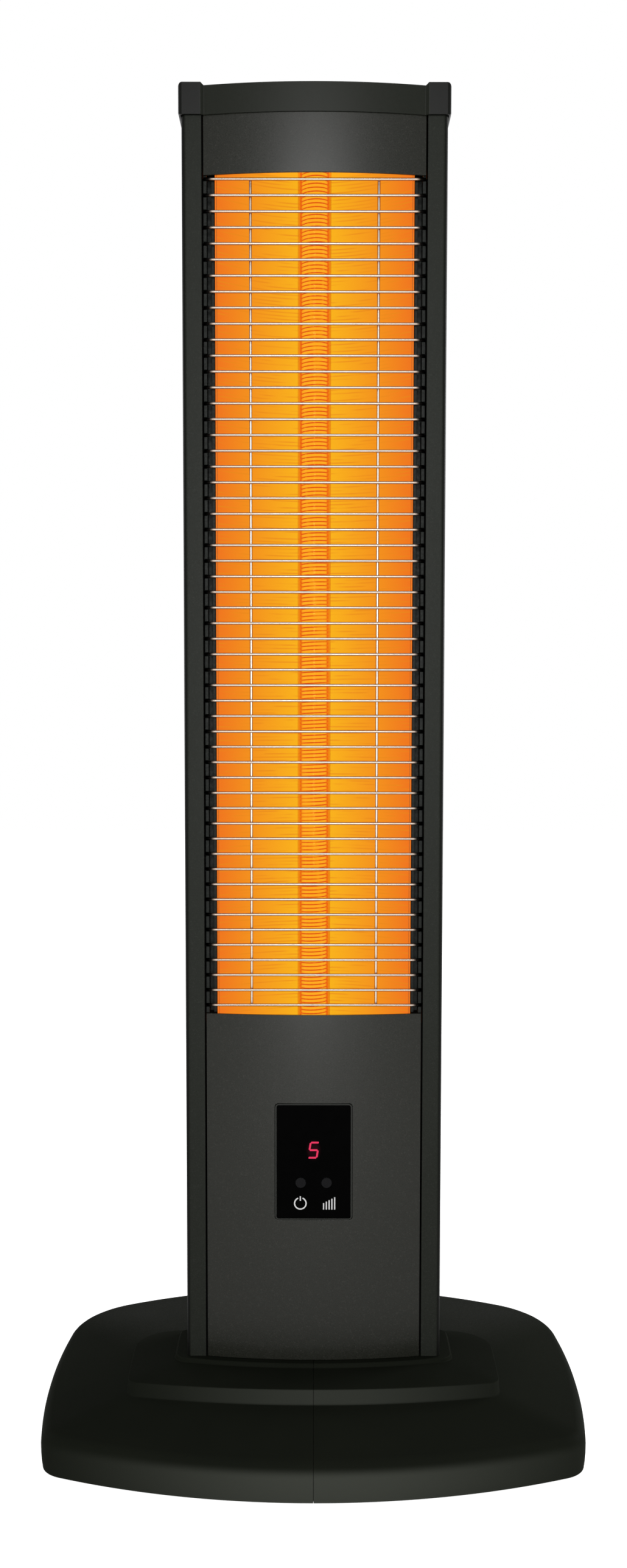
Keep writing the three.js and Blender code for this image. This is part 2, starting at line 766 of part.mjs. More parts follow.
// Section of a curved panel with a flange and a snap bead along each side
function panelSection() {
	const edge = panelHalf;
	const half = Math.asin(edge / panelRadius);
	const innerRadius = panelRadius - panelThickness;
	const innerEdge = edge - panelFlangeThickness;
	const innerHalf = Math.asin(innerEdge / innerRadius);
	const back = panelEdgeRecess + panelFlangeDepth;
	const bead = panelSeam - seatGap;
	const shape = new THREE.Shape();
	shape.absarc(0, panelCentreY, panelRadius, -Math.PI / 2 - half, -Math.PI / 2 + half, false);
	shape.lineTo(edge, back - panelBeadWidth);
	shape.lineTo(edge + bead, back - panelBeadWidth);
	shape.lineTo(edge + bead, back);
	shape.lineTo(innerEdge, back);
	shape.absarc(0, panelCentreY, innerRadius, -Math.PI / 2 + innerHalf, -Math.PI / 2 - innerHalf, true);
	shape.lineTo(-innerEdge, back);
	shape.lineTo(-edge - bead, back);
	shape.lineTo(-edge - bead, back - panelBeadWidth);
	shape.lineTo(-edge, back - panelBeadWidth);
	return shape;
}

const panel = (z0, z1) => extrudeZ(panelSection(), z0, z1, panelSteps);

function lowerFrontPanel() {
	const cutHalfX = windowPaneWidth / 2 + bezelRim + 2 * seatGap;
	const cutHalfZ = windowPaneHeight / 2 + bezelRim + 2 * seatGap;
	const opening = extrudeY(roundedRectangle(-cutHalfX, cutHalfX, displayZ - cutHalfZ, displayZ + cutHalfZ,
		windowPaneCorner + bezelRim), panelCrownY - overrun, panelEdgeRecess + overrun, 1);
	const postX = controlBoardWidth / 2 - boardPostInset;
	const postZ = controlBoardHeight / 2 - boardPostInset;
	const postFront = panelCentreY - Math.sqrt(panelRadius ** 2 - postX ** 2) + panelThickness / 2;
	const posts = [-1, 1].flatMap((sx) => [-1, 1].map((sz) =>
		latheY(rod(boardPostRadius, postFront, controlBoardY - seatGap), screwSegments)
			.translate(sx * postX, 0, displayZ + sz * postZ)));
	return joined(cut(panel(columnBottom, lowerPanelTop), opening), ...posts);
}

// Rear covers: flat sheets screwed to the backs of the profiles
function coverSheet(z0, z1, holes) {
	const half = columnWidth / 2 - coverInset;
	const shape = rectangle(-half, half, z0, z1);
	shape.holes.push(...holes);
	return extrudeY(shape, coverY, columnDepth, 2);
}

function screwHoleOutlines(heights) {
	return heights.flatMap((z) => [-1, 1].map((side) =>
		slotOutline(side * coverScrewX(), z, 0, coverScrewShank + seatGap)));
}

// A hole with round ends whose middles lie the given length apart
function slotOutline(x, z, length, radius) {
	const slot = new THREE.Path();
	slot.absarc(x + length / 2, z, radius, -Math.PI / 2, Math.PI / 2);
	slot.absarc(x - length / 2, z, radius, Math.PI / 2, 1.5 * Math.PI);
	return slot;
}

function ventSlots() {
	const slots = [];
	const r = ventHeight / 2;
	for (let row = 0; row < ventRows; row++) {
		const z = capBottom - ventTopMargin - row * ventPitch;
		for (const side of [-1, 1]) {
			slots.push(slotOutline(side * (ventGap + ventWidth) / 2, z, ventWidth - 2 * r, r));
		}
	}
	return slots;
}

function rearCover() {
	const [, , low, high] = coverScrewHeights();
	return coverSheet(serviceCoverTop + seatGap, columnTop,
		[...screwHoleOutlines([low, high]), ...ventSlots()]);
}

function serviceCover() {
	const [low, high] = coverScrewHeights();
	const sheet = cut(coverSheet(columnBottom, serviceCoverTop, screwHoleOutlines([low, high])),
		latheY(rod(glandNeck + seatGap, coverY - overrun, columnDepth + overrun))
			.translate(0, 0, columnBottom + glandRise));
	const postX = powerBoardWidth / 2 - powerPostInset;
	const postFront = powerBoardDepth + boardThickness + seatGap;
	const posts = [powerPostInset, powerBoardHeight - powerPostInset].flatMap((rise) => [-1, 1].map((side) =>
		latheY(rod(powerPostRadius, postFront, coverY + coverThickness / 2), screwSegments)
			.translate(side * postX, 0, powerBoardBottom + rise)));
	return joined(sheet, ...posts);
}

function coverScrew() {
	const seat = columnDepth + seatGap;
	const crown = seat + coverScrewHeadHeight;
	const tip = profileDepth - profileWall - coverScrewGrip;
	return latheY([
		[0, tip], [coverScrewShank, tip], [coverScrewShank, seat], [coverScrewHead, seat],
		[coverScrewHead, seat + coverScrewHeadHeight / 2], [coverScrewHead * 0.7, crown], [0, crown],
	], screwSegments);
}

function bracketScrew() {
	const seat = profileInner - seatGap - bracketThickness - seatGap;
	const tip = profileInner + profileWall + bracketScrewGrip;
	return latheX([
		[0, seat - bracketScrewHeadHeight], [bracketScrewHead, seat - bracketScrewHeadHeight],
		[bracketScrewHead, seat], [bracketScrewShank, seat], [bracketScrewShank, tip], [0, tip],
	], screwSegments).translate(0, (bracketFront + bracketBack) / 2, columnBottom + bracketScrewRise);
}

// Top cap: a lid with a skirt over the column, a curved middle and a raised block at each corner
function capBlock() {
	const outer = columnWidth / 2 + capSide;
	const slopeInner = profileInner - capBlockInset;
	const slopeOuter = slopeInner + capBlockSlope;
	const top = capTop + capBlockRise;
	const front = new THREE.Shape();
	front.moveTo(slopeInner - overrun, capBottom);
	front.lineTo(outer - capChamferWidth, capBottom);
	front.lineTo(outer, capBottom + capChamferHeight);
	front.absarc(outer - capCornerRadius, top - capCornerRadius, capCornerRadius, 0, Math.PI / 2);
	front.lineTo(slopeOuter, top);
	front.lineTo(slopeInner, capTop);
	front.lineTo(slopeInner - overrun, capTop);
	const middleFront = capMiddleFront(slopeInner);
	const blockFront = middleFront - capBlockProud;
	const rear = columnDepth + capRear;
	const plan = new THREE.Shape();
	plan.moveTo(slopeInner - overrun, middleFront + overrun);
	plan.lineTo(slopeInner, middleFront);
	plan.lineTo(slopeOuter, blockFront);
	plan.absarc(outer - capCornerRadius, blockFront + capCornerRadius, capCornerRadius, -Math.PI / 2, 0);
	plan.absarc(outer - capCornerRadius, rear - capCornerRadius, capCornerRadius, 0, Math.PI / 2);
	plan.lineTo(slopeInner - overrun, rear);
	return common(extrudeY(front, blockFront - overrun, rear + overrun, 4),
		extrudeZ(plan, capBottom - overrun, top + overrun, 4));
}

// Front of the cap's curved middle at a distance from the centre line
const capMiddleFront = (x) => panelCentreY - Math.sqrt((panelRadius + capProud) ** 2 - x ** 2);

// A plan outline that follows the panels' curve in front and is straight elsewhere
function columnPlan(halfWidth, curveHalf, proud, front, rear) {
	const radius = panelRadius + proud;
	const turn = Math.asin(curveHalf / radius);
	const shape = new THREE.Shape();
	shape.absarc(0, panelCentreY, radius, -Math.PI / 2 - turn, -Math.PI / 2 + turn, false);
	shape.lineTo(curveHalf, front);
	shape.lineTo(halfWidth, front);
	shape.lineTo(halfWidth, rear);
	shape.lineTo(-halfWidth, rear);
	shape.lineTo(-halfWidth, front);
	shape.lineTo(-curveHalf, front);
	return shape;
}

function topCap() {
	const slopeInner = profileInner - capBlockInset;
	const rear = columnDepth + capRear;
	const front = capMiddleFront(slopeInner);
	const middle = extrudeZ(columnPlan(slopeInner, slopeInner - seatGap, capProud, front, rear),
		capBottom, capTop, panelSteps);
	const ceiling = columnTop + seatGap;
	const pocket = extrudeZ(columnPlan(columnWidth / 2 + seatGap, panelHalf, seatGap, -seatGap,
		columnDepth + seatGap), capBottom - overrun, ceiling, panelSteps);
	const hollow = box(capWall - profileInner, profileInner - capWall, capWall, columnDepth - capWall,
		ceiling - overrun, capTop - capWall);
	const pegInner = profileInner + profileWall + seatGap;
	const pegOuter = columnWidth / 2 - profileWall - seatGap;
	const peg = box(pegInner, pegOuter, capPegInset, profileDepth - capPegInset,
		columnTop - capPegLength, ceiling + capWall);
	const lid = cut(joined(middle, capBlock(), mirrored(capBlock())), pocket, hollow);
	return joined(lid, peg, mirrored(peg));
}

function buildHousing() {
	add(column, 'side_profile_right', sideProfile(), darkCoat);
	add(column, 'side_profile_left', mirrored(sideProfile()), darkCoat);
	add(column, 'header_panel', panel(headerBottom, columnTop), panelCoat);
	add(column, 'lower_front_panel', lowerFrontPanel(), panelCoat);
	add(column, 'rear_cover', rearCover(), darkCoat);
	add(column, 'service_cover', serviceCover(), darkCoat);
	add(column, 'top_cap', topCap(), blackMoulding);
	const names = ['service_screw_lower', 'service_screw_upper', 'cover_screw_lower', 'cover_screw_upper'];
	coverScrewHeights().forEach((z, i) => {
		add(column, `${names[i]}_right`, coverScrew(), blackScrew, [coverScrewX(), 0, z]);
		add(column, `${names[i]}_left`, coverScrew(), blackScrew, [-coverScrewX(), 0, z]);
	});
	add(column, 'bracket_screw_right', bracketScrew(), blackScrew);
	add(column, 'bracket_screw_left', mirrored(bracketScrew()), blackScrew);
	add(column, 'cable_gland', cableGland(), blackMoulding, [0, 0, columnBottom + glandRise]);
}

// Snap-in gland: a flange outside the cover, a clip inside it and a tapered nose
function cableGland() {
	const outside = columnDepth + seatGap;
	const inside = coverY - seatGap;
	const clipFront = inside - glandClipThickness;
	return latheY([
		[glandBore, clipFront], [glandClipRadius, clipFront], [glandClipRadius, inside], [glandNeck, inside],
		[glandNeck, outside], [glandFlange, outside], [glandFlange, outside + glandFlangeThickness],
		[glandNeck, outside + glandFlangeThickness], [glandNoseRadius, outside + glandNose],
		[glandBore, outside + glandNose], [glandBore, clipFront],
	]);
}

// Window: wire guard, grille channels, reflector, tube and coil

const wireHeights = () => {
	const first = headerBottom - firstWireDrop;
	const last = lowerPanelTop + lastWireRise;
	return Array.from({ length: wireCount }, (_, i) => first + (last - first) * i / (wireCount - 1));
};

// A level wire through points of x and depth, with mitred bends
function levelWire(points, z) {
	const path = points.map(([x, y]) => new THREE.Vector2(x, y));
	const rings = path.map((point, i) => {
		const before = path[Math.max(i - 1, 0)];
		const after = path[Math.min(i + 1, path.length - 1)];
		const legs = [point.clone().sub(before).normalize(), after.clone().sub(point).normalize()];
		const run = legs[0].clone().add(legs[1]).normalize();
		const inner = legs[0].lengthSq() && legs[1].lengthSq() ? Math.abs(run.dot(legs[0])) : 1;
		const normal = new THREE.Vector2(-run.y, run.x);
		return Array.from({ length: wireSides }, (_, k) => {
			const turn = (k + 0.5) * 2 * Math.PI / wireSides;
			const out = normal.clone().multiplyScalar(wireRadius * Math.cos(turn) / inner).add(point);
			return new THREE.Vector3(out.x, out.y, z + wireRadius * Math.sin(turn));
		});
	});
	return loft(rings, fan(wireSides));
}

function guardGrille() {
	const end = channelOuter - channelReveal - channelOuterWall / 5;
	const bend = end - wireBendInset;
	const heights = wireHeights();
	const flatHalf = wireRadius * Math.cos(Math.PI / wireSides);
	const uprightDepth = wireDepth + 2 * flatHalf - weldDepth;
	const upright = new THREE.CylinderGeometry(wireRadius, wireRadius, heights[0] - heights.at(-1),
		wireSides, 1, false, Math.PI / wireSides).rotateX(Math.PI / 2);
	const middle = (heights[0] + heights.at(-1)) / 2;
	const levels = heights.map((z) => levelWire([
		[-end, wireDepth + wireEndDepth], [-bend, wireDepth], [bend, wireDepth], [end, wireDepth + wireEndDepth],
	], z));
	const uprights = [-1, 1].map((side) =>
		upright.clone().translate(side * uprightSpacing / 2, uprightDepth, middle));
	return joined(...uprights, ...levels);
}

// Channel beside the window: its outer wall has a notch for each wire, its inner wall holds the
// reflector's hem
function grilleChannel() {
	const low = lowerPanelTop + seatGap;
	const high = headerBottom - seatGap;
	const face = channelOuter - channelReveal;
	const section = polygon([
		[channelInner, channelInnerFront], [channelInner + channelInnerWall, channelInnerFront],
		[channelInner + channelInnerWall, channelBack - channelFloor],
		[face - channelOuterWall, channelBack - channelFloor], [face - channelOuterWall, channelFront],
		[face, channelFront], [face, channelFront + channelRevealDepth],
		[channelOuter, channelFront + channelRevealDepth], [channelOuter, channelBack],
		[channelInner, channelBack],
	]);
	const notchHalf = wireRadius + seatGap;
	const notchBack = wireDepth + wireEndDepth + wireRadius + 2 * seatGap;
	const notchInner = face - channelOuterWall - channelReveal;
	const notches = wireHeights().map((z) =>
		box(notchInner, channelOuter + overrun, channelFront - overrun, notchBack, z - notchHalf, z + notchHalf));
	return cut(extrudeZ(section, low, high), ...notches);
}

// Parabolic trough with a straight hem along each side
function reflector() {
	const edge = reflectorHalf - reflectorThickness;
	const hemBack = reflectorFront + reflectorHem;
	const depth = reflectorBack - hemBack;
	const inner = [];
	const outer = [];
	for (let i = 0; i <= reflectorSteps; i++) {
		const share = 2 * i / reflectorSteps - 1;
		const point = new THREE.Vector2(share * edge, reflectorBack - depth * share ** 2);
		const normal = new THREE.Vector2(2 * depth * share / edge, 1).normalize();
		inner.push([point.x, point.y]);
		outer.push([point.x + normal.x * reflectorThickness, point.y + normal.y * reflectorThickness]);
	}
	outer[0][0] = -reflectorHalf;
	outer[reflectorSteps][0] = reflectorHalf;
	const section = polygon([
		[-edge, reflectorFront], ...inner, [edge, reflectorFront], [reflectorHalf, reflectorFront],
		...outer.reverse(), [-reflectorHalf, reflectorFront],
	]);
	return extrudeZ(section, reflectorBottom, reflectorTop);
}

// Plate across the column beyond the reflector's end, with a turned-up flange at each side; it is
// drawn for the upper end, with z counted outward from the reflector
function endPlate() {
	const half = profileInner - seatGap;
	const narrow = half - plateFrontInset;
	const shoulder = panelEdgeRecess + panelFlangeDepth + 2 * seatGap;
	const shape = polygon([
		[-narrow, plateFront], [narrow, plateFront], [narrow, shoulder], [half, shoulder], [half, plateBack],
		[-half, plateBack], [-half, shoulder], [-narrow, shoulder],
	]);
	const hole = new THREE.Path();
	hole.absarc(0, elementDepth, tubeRadius + plateHoleClearance, 0, 2 * Math.PI);
	shape.holes.push(hole);
	const sheet = extrudeZ(shape, seatGap, seatGap + plateThickness, 10);
	const flange = box(half - plateThickness, half, shoulder, plateBack, seatGap, seatGap + plateFlangeHeight);
	return joined(sheet, flange, mirrored(flange));
}

// Ceramic cap with a pocket for the tube, seated on the end plate
function ceramicCap() {
	const seat = seatGap + plateThickness + seatGap;
	const top = seat + ceramicLength;
	return latheZ([
		[0, seat + ceramicPocket], [tubeRadius + ceramicClearance, seat + ceramicPocket],
		[tubeRadius + ceramicClearance, seat], [ceramicRadius, seat], [ceramicRadius, top - ceramicRim],
		[ceramicRadius - ceramicRim, top], [0, top],
	], tubeSegments);
}

// How far the tube and the coil reach past the reflector's ends
const tubeReach = 2 * seatGap + plateThickness + ceramicPocket - seatGap;

function quartzTube() {
	const [low, high] = [reflectorBottom - tubeReach, reflectorTop + tubeReach];
	return latheZ(ring(tubeRadius - tubeWall, tubeRadius, low, high), tubeSegments);
}

// Middle line of the coil, laid out flat as the way round and the height: a straight lead, a
// rounded bend, the turns, and the same again at the top
function coilPath(radius, bottom, top) {
	const lead = 2 * coilWireRadius;
	const bend = 2 * coilWireRadius;
	const path = [[0, bottom], [0, bottom + lead]];
	for (let i = 1; i <= coilBendSteps; i++) {
		const turn = i / (coilBendSteps + 1) * Math.PI / 2;
		path.push([bend * (1 - Math.cos(turn)), bottom + lead + bend * Math.sin(turn)]);
	}
	const low = bottom + lead + bend;
	const high = top - lead - bend;
	const steps = coilTurns * coilSteps;
	const round = 2 * Math.PI * radius * coilTurns;
	for (let i = 0; i <= steps; i++) {
		path.push([bend + round * i / steps, low + (high - low) * i / steps]);
	}
	const end = 2 * bend + round;
	const turned = path.slice(0, coilBendSteps + 2).reverse();
	return [...path, ...turned.map(([way, height]) => [end - way, top + bottom - height])];
}

function heatingCoil() {
	const radius = tubeRadius - tubeWall - coilGlassGap - coilWireRadius;
	const path = coilPath(radius, reflectorBottom - tubeReach, reflectorTop + tubeReach);
	const point = ([way, height]) => {
		const turn = way / radius;
		return new THREE.Vector3(radius * Math.cos(turn), radius * Math.sin(turn), height);
	};
	const points = path.map(point);
	const rings = points.map((middle, i) => {
		const out = new THREE.Vector3(middle.x, middle.y, 0).normalize();
		const before = path[Math.max(i - 1, 0)];
		const after = path[Math.min(i + 1, path.length - 1)];
		const around = new THREE.Vector3(-out.y, out.x, 0);
		const run = around.multiplyScalar(after[0] - before[0]);
		run.z = after[1] - before[1];
		const side = run.normalize().cross(out);
		return Array.from({ length: coilSides }, (_, k) => {
			const turn = k * 2 * Math.PI / coilSides;
			return middle.clone()
				.addScaledVector(out, coilWireRadius * Math.cos(turn))
				.addScaledVector(side, coilWireRadius * Math.sin(turn));
		});
	});
	console.log('heating coil: least gap to itself', leastGap(points).toFixed(2), 'mm');
	return loft(rings, fan(coilSides));
}

// Least air between points of the coil that lie more than half a turn apart
function leastGap(points) {
	let least = Infinity;
	for (let i = 0; i < points.length; i++) {
		for (let j = i + coilSteps / 2 + 1; j < points.length; j++) {
			least = Math.min(least, points[i].distanceTo(points[j]));
		}
	}
	return least - 2 * coilWireRadius;
}

function buildWindow() {
	add(column, 'guard_grille', guardGrille(), wireChrome);
	add(column, 'grille_channel_right', grilleChannel(), blackChannel);
	add(column, 'grille_channel_left', mirrored(grilleChannel()), blackChannel);
	add(column, 'reflector', reflector(), warmReflector);
	add(column, 'upper_end_plate', endPlate(), zincSheet, [0, 0, reflectorTop]);
	add(column, 'lower_end_plate', closed(endPlate().scale(1, 1, -1)), zincSheet, [0, 0, reflectorBottom]);
	const lowerCap = closed(ceramicCap().scale(1, 1, -1));
	add(column, 'upper_ceramic_cap', ceramicCap(), ceramic, [0, elementDepth, reflectorTop]);
	add(column, 'lower_ceramic_cap', lowerCap, ceramic, [0, elementDepth, reflectorBottom]);
	add(column, 'quartz_tube', quartzTube(), quartz, [0, elementDepth, 0]);
	add(column, 'heating_coil', heatingCoil(), glowingCoil, [0, elementDepth, 0]);
}

// Display unit, in its own group

function displayPane() {
	const x = windowPaneWidth / 2;
	const z = windowPaneHeight / 2;
	const pane = extrudeY(roundedRectangle(-x, x, -z, z, windowPaneCorner), paneFront, paneBack, 1);
	const holes = [-1, 1].map((side) =>
		latheY(rod(buttonRadius + buttonGap, paneFront - overrun, paneBack + overrun), buttonSegments)
			.translate(side * buttonSpacing / 2, 0, -buttonDrop));
	return cut(pane, ...holes);
}

// A frame between two rounded rectangles
function frame(outer, inner, radius, y0, y1) {
	const shape = roundedRectangle(-outer[0], outer[0], -outer[1], outer[1], radius);
	shape.holes.push(roundedRectangle(-inner[0], inner[0], -inner[1], inner[1], windowPaneCorner));
	return extrudeY(shape, y0, y1, 1);
}

function displayBezel() {
	const inner = [windowPaneWidth / 2 + seatGap, windowPaneHeight / 2 + seatGap];
	const outer = inner.map((half) => half + bezelRim);
	const flange = outer.map((half) => half + bezelFlange);
	const ledge = inner.map((half) => half - bezelLedge);
	const seat = paneBack + seatGap;
	const corner = windowPaneCorner + bezelRim;
	const rim = frame(outer, inner, corner, paneFront - bezelProud, seat + bezelThickness / 2);
	return joined(rim, frame(flange, ledge, corner, seat, seat + bezelThickness));
}

// Depths along a button, from the crown of its cap to the end of its stem
const buttonFlangeFront = paneBack + seatGap;
const buttonFlangeBack = buttonFlangeFront + buttonFlangeThickness;
const buttonEnd = buttonFlangeBack + buttonStemLength;
const stemFront = buttonEnd + seatGap;
const switchBack = controlBoardY - seatGap;
const switchFront = switchBack - switchHeight;

function buttonCap() {
	return latheY([
		[0, paneFront], [buttonRadius - buttonCrown, paneFront], [buttonRadius, paneFront + buttonCrown],
		[buttonRadius, buttonFlangeFront], [buttonFlangeRadius, buttonFlangeFront],
		[buttonFlangeRadius, buttonFlangeBack], [buttonStemRadius, buttonFlangeBack],
		[buttonStemRadius, buttonEnd], [0, buttonEnd],
	], buttonSegments);
}

function switchBody() {
	const half = switchSize / 2;
	const bore = switchStemRadius + buttonGap;
	const shape = rectangle(-half, half, -half, half);
	const well = latheY(rod(bore, switchFront - overrun,
		switchFront + switchStemSunk + buttonTravel + seatGap), screwSegments);
	return cut(extrudeY(shape, switchFront, switchBack), well);
}

const switchStem = () =>
	latheY(rod(switchStemRadius, stemFront, switchFront + switchStemSunk), screwSegments);

function digitModule() {
	const x = digitWidth / 2;
	const z = digitHeight / 2;
	const front = paneBack + seatGap;
	const profile = polygon([
		[front + digitChamfer, -z], [switchBack, -z], [switchBack, z], [front + digitChamfer, z],
		[front, z - digitChamfer], [front, digitChamfer - z],
	]);
	return extrudeX(profile, -x, x);
}

function infraredReceiver() {
	const x = receiverWidth / 2;
	const front = paneBack + seatGap;
	const body = box(-x, x, front + receiverDome, switchBack, 0, receiverHeight);
	const dome = latheY([
		[0, front], [receiverDome * 0.7, front + receiverDome * 0.3], [receiverDome, front + receiverDome],
		[receiverDome, switchBack - seatGap], [0, switchBack - seatGap],
	], screwSegments).translate(0, 0, receiverHeight / 2);
	return joined(body, dome);
}

function buildDisplay() {
	const boardX = controlBoardWidth / 2;
	const boardZ = controlBoardHeight / 2;
	const board = extrudeY(roundedRectangle(-boardX, boardX, -boardZ, boardZ, windowPaneCorner),
		controlBoardY, controlBoardY + boardThickness, 1);
	add(display, 'display_window', displayPane(), smokedPane);
	add(display, 'display_bezel', displayBezel(), blackMoulding);
	add(display, 'control_board', board, boardGreen);
	add(display, 'digit_module', digitModule(), componentBlack, [0, 0, digitRise]);
	add(display, 'infrared_receiver', infraredReceiver(), componentBlack,
		[0, 0, receiverRise - receiverHeight / 2]);
	for (const [name, side] of [['power', -1], ['level', 1]]) {
		const place = [side * buttonSpacing / 2, 0, -buttonDrop];
		add(display, `${name}_button`, buttonCap(), buttonClear, place);
		add(display, `${name}_switch_stem`, switchStem(), terminalWhite, place);
		add(display, `${name}_switch`, switchBody(), componentBlack, place);
	}
}

// Power board, its components and the element's leads

const powerFace = powerBoardDepth - seatGap;

// Finned bar: a base with fins to one side, seen from above
function heatSink() {
	const front = powerFace - sinkDepth;
	const pitch = (sinkDepth - sinkFinThickness) / (sinkFins - 1);
	const tip = sinkLeft;
	const root = sinkLeft + sinkLength - sinkBase;
	const outline = [[root + sinkBase, front], [root + sinkBase, powerFace]];
	for (let i = sinkFins - 1; i >= 0; i--) {
		const y = front + i * pitch;
		outline.push([tip, y + sinkFinThickness], [tip, y]);
		if (i > 0) outline.push([root, y], [root, y - pitch + sinkFinThickness]);
	}
	return extrudeZ(polygon(outline), 0, sinkHeight);
}

function triac() {
	const x = sinkLeft + sinkLength + seatGap;
	const middle = powerFace - sinkDepth / 2;
	const y0 = middle - triacWidth / 2;
	const profile = polygon([
		[0, 0], [triacThickness, 0], [triacThickness, triacBody], [triacTab, triacBody],
		[triacTab, triacHeight], [0, triacHeight],
	]);
	return extrudeY(profile, y0, y0 + triacWidth).translate(x, 0, 0);
}

function relay() {
	const right = relayLeft + relayWidth;
	const shape = roundedRectangle(relayLeft, right, powerFace - relayDepth, powerFace, relayChamfer);
	return extrudeZ(shape, 0, relayHeight, 1);
}

function terminalBlock() {
	const half = terminalWidth / 2;
	const block = box(-half, half, powerFace - terminalDepth, powerFace, 0, terminalHeight);
	const pitch = terminalWidth / terminalWays;
	const ways = Array.from({ length: terminalWays }, (_, i) => {
		const middle = -half + (i + 0.5) * pitch;
		return box(middle - terminalWayWidth / 2, middle + terminalWayWidth / 2,
			powerFace - terminalDepth - overrun, powerFace - terminalDepth + terminalWayDepth,
			terminalHeight / 3, terminalHeight * 2 / 3);
	});
	return cut(block, ...ways);
}

function tiltSwitch() {
	return latheZ(rod(tiltSwitchRadius, 0, tiltSwitchHeight))
		.translate(tiltSwitchLeft, powerFace - tiltSwitchRadius, 0);
}

function thermalCutout() {
	const front = reflectorBack + reflectorThickness + seatGap;
	return latheY([
		[0, front], [cutoutFlange, front], [cutoutFlange, front + cutoutFlangeThickness],
		[cutoutRadius, front + cutoutFlangeThickness], [cutoutRadius, front + cutoutHeight],
		[0, front + cutoutHeight],
	]);
}

function lead(points) {
	const curve = new THREE.CatmullRomCurve3(points.map((p) => new THREE.Vector3(...p)), false, 'centripetal');
	const section = new THREE.Shape();
	section.absarc(0, 0, leadRadius, 0, 2 * Math.PI);
	return new THREE.ExtrudeGeometry(section, {
		steps: points.length * leadStepsPerPoint, curveSegments: leadSides / 2, bevelEnabled: false,
		extrudePath: curve,
	});
}

// Both leads leave the top of the terminal block and meet the back of a ceramic cap squarely
function leadRoutes() {
	const x = leadTerminalSpacing / 2;
	const startY = powerFace - terminalDepth / 2;
	const startZ = powerBoardBottom + powerBoardHeight - terminalTopMargin + seatGap;
	const ceramicBack = elementDepth + ceramicRadius + seatGap;
	const ceramicMiddle = 2 * seatGap + plateThickness + ceramicLength / 2;
	const lowerZ = reflectorBottom - ceramicMiddle;
	const upperZ = reflectorTop + ceramicMiddle;
	const start = (side) => [[side * x, startY, startZ], [side * x, startY, startZ + leadStub]];
	return {
		lower: [
			...start(1), [x / 2, leadDepth - leadReach, (startZ + lowerZ) / 2],
			[0, leadDepth - leadRadius, lowerZ - leadReach], [0, leadDepth - leadReach, lowerZ],
			[0, ceramicBack, lowerZ],
		],
		upper: [
			...start(-1), [-leadOffset / 2, leadDepth - leadReach, startZ + 3 * leadStub],
			[-leadOffset, leadDepth, reflectorBottom - 2 * leadStub], [-leadOffset, leadDepth, reflectorBottom],
			[-leadOffset, leadDepth, (reflectorBottom + reflectorTop) / 2],
			[-leadOffset, leadDepth, reflectorTop - leadStub], [-leadOffset / 2, leadDepth, upperZ - leadReach / 2],
			[-leadReach, leadDepth - leadRadius, upperZ], [0, leadDepth - leadReach, upperZ],
			[0, ceramicBack, upperZ],
		],
	};
}

function buildPower() {
	const half = powerBoardWidth / 2;
	const top = powerBoardBottom + powerBoardHeight;
	const board = extrudeY(roundedRectangle(-half, half, powerBoardBottom, top, windowPaneCorner),
		powerBoardDepth, powerBoardDepth + boardThickness, 1);
	add(column, 'power_board', board, boardGreen);
	add(column, 'heat_sink', heatSink(), zincSheet, [0, 0, powerBoardBottom + sinkRise]);
	add(column, 'triac', triac(), componentBlack, [0, 0, powerBoardBottom + sinkRise + triacRise]);
	add(column, 'power_relay', relay(), componentBlack, [0, 0, powerBoardBottom + relayRise]);
	add(column, 'terminal_block', terminalBlock(), terminalWhite,
		[0, 0, top - terminalTopMargin - terminalHeight]);
	add(column, 'tilt_switch', tiltSwitch(), componentBlack, [0, 0, powerBoardBottom + tiltSwitchRise]);
	add(column, 'thermal_cutout', thermalCutout(), componentBlack, [0, 0, reflectorBottom + cutoutRise]);
	const routes = leadRoutes();
	add(column, 'lower_lead', lead(routes.lower), siliconeLead);
	add(column, 'upper_lead', lead(routes.upper), siliconeLead);
}

buildBase();
buildHousing();
buildWindow();
buildDisplay();
buildPower();

export default heater;
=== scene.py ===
# %% [markdown]
# # A lit infrared tower heater
#
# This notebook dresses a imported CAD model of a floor-standing heater: a dark column with a glowing
# element behind a wire guard, standing on a wide bowed base. The CAD gives each part its place
# and size. Here every part gets the edges, surfaces and small forms that the eye looks for.

# %% The frame
import json
import math

import bpy
from mathutils import Matrix, Vector


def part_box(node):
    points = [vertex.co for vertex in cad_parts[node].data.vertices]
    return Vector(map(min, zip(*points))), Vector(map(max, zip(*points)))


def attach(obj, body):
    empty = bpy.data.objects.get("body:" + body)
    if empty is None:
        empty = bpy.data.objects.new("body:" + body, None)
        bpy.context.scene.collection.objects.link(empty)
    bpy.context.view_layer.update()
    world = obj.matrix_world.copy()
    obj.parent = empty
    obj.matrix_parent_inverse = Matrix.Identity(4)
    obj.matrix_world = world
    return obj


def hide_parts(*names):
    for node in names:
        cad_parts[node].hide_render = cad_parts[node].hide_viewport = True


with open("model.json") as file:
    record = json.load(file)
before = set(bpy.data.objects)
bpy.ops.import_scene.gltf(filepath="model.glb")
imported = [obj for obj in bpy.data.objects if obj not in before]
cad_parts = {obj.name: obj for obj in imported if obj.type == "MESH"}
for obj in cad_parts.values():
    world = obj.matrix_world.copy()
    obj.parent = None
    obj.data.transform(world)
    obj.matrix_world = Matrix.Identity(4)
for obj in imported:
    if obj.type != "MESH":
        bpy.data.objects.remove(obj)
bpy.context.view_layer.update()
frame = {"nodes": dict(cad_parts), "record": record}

MM = 0.001
RECORD = frame["record"]
BODY_OF = {node: body for body, nodes in RECORD["behaviour"]["bodies"].items() for node in nodes}

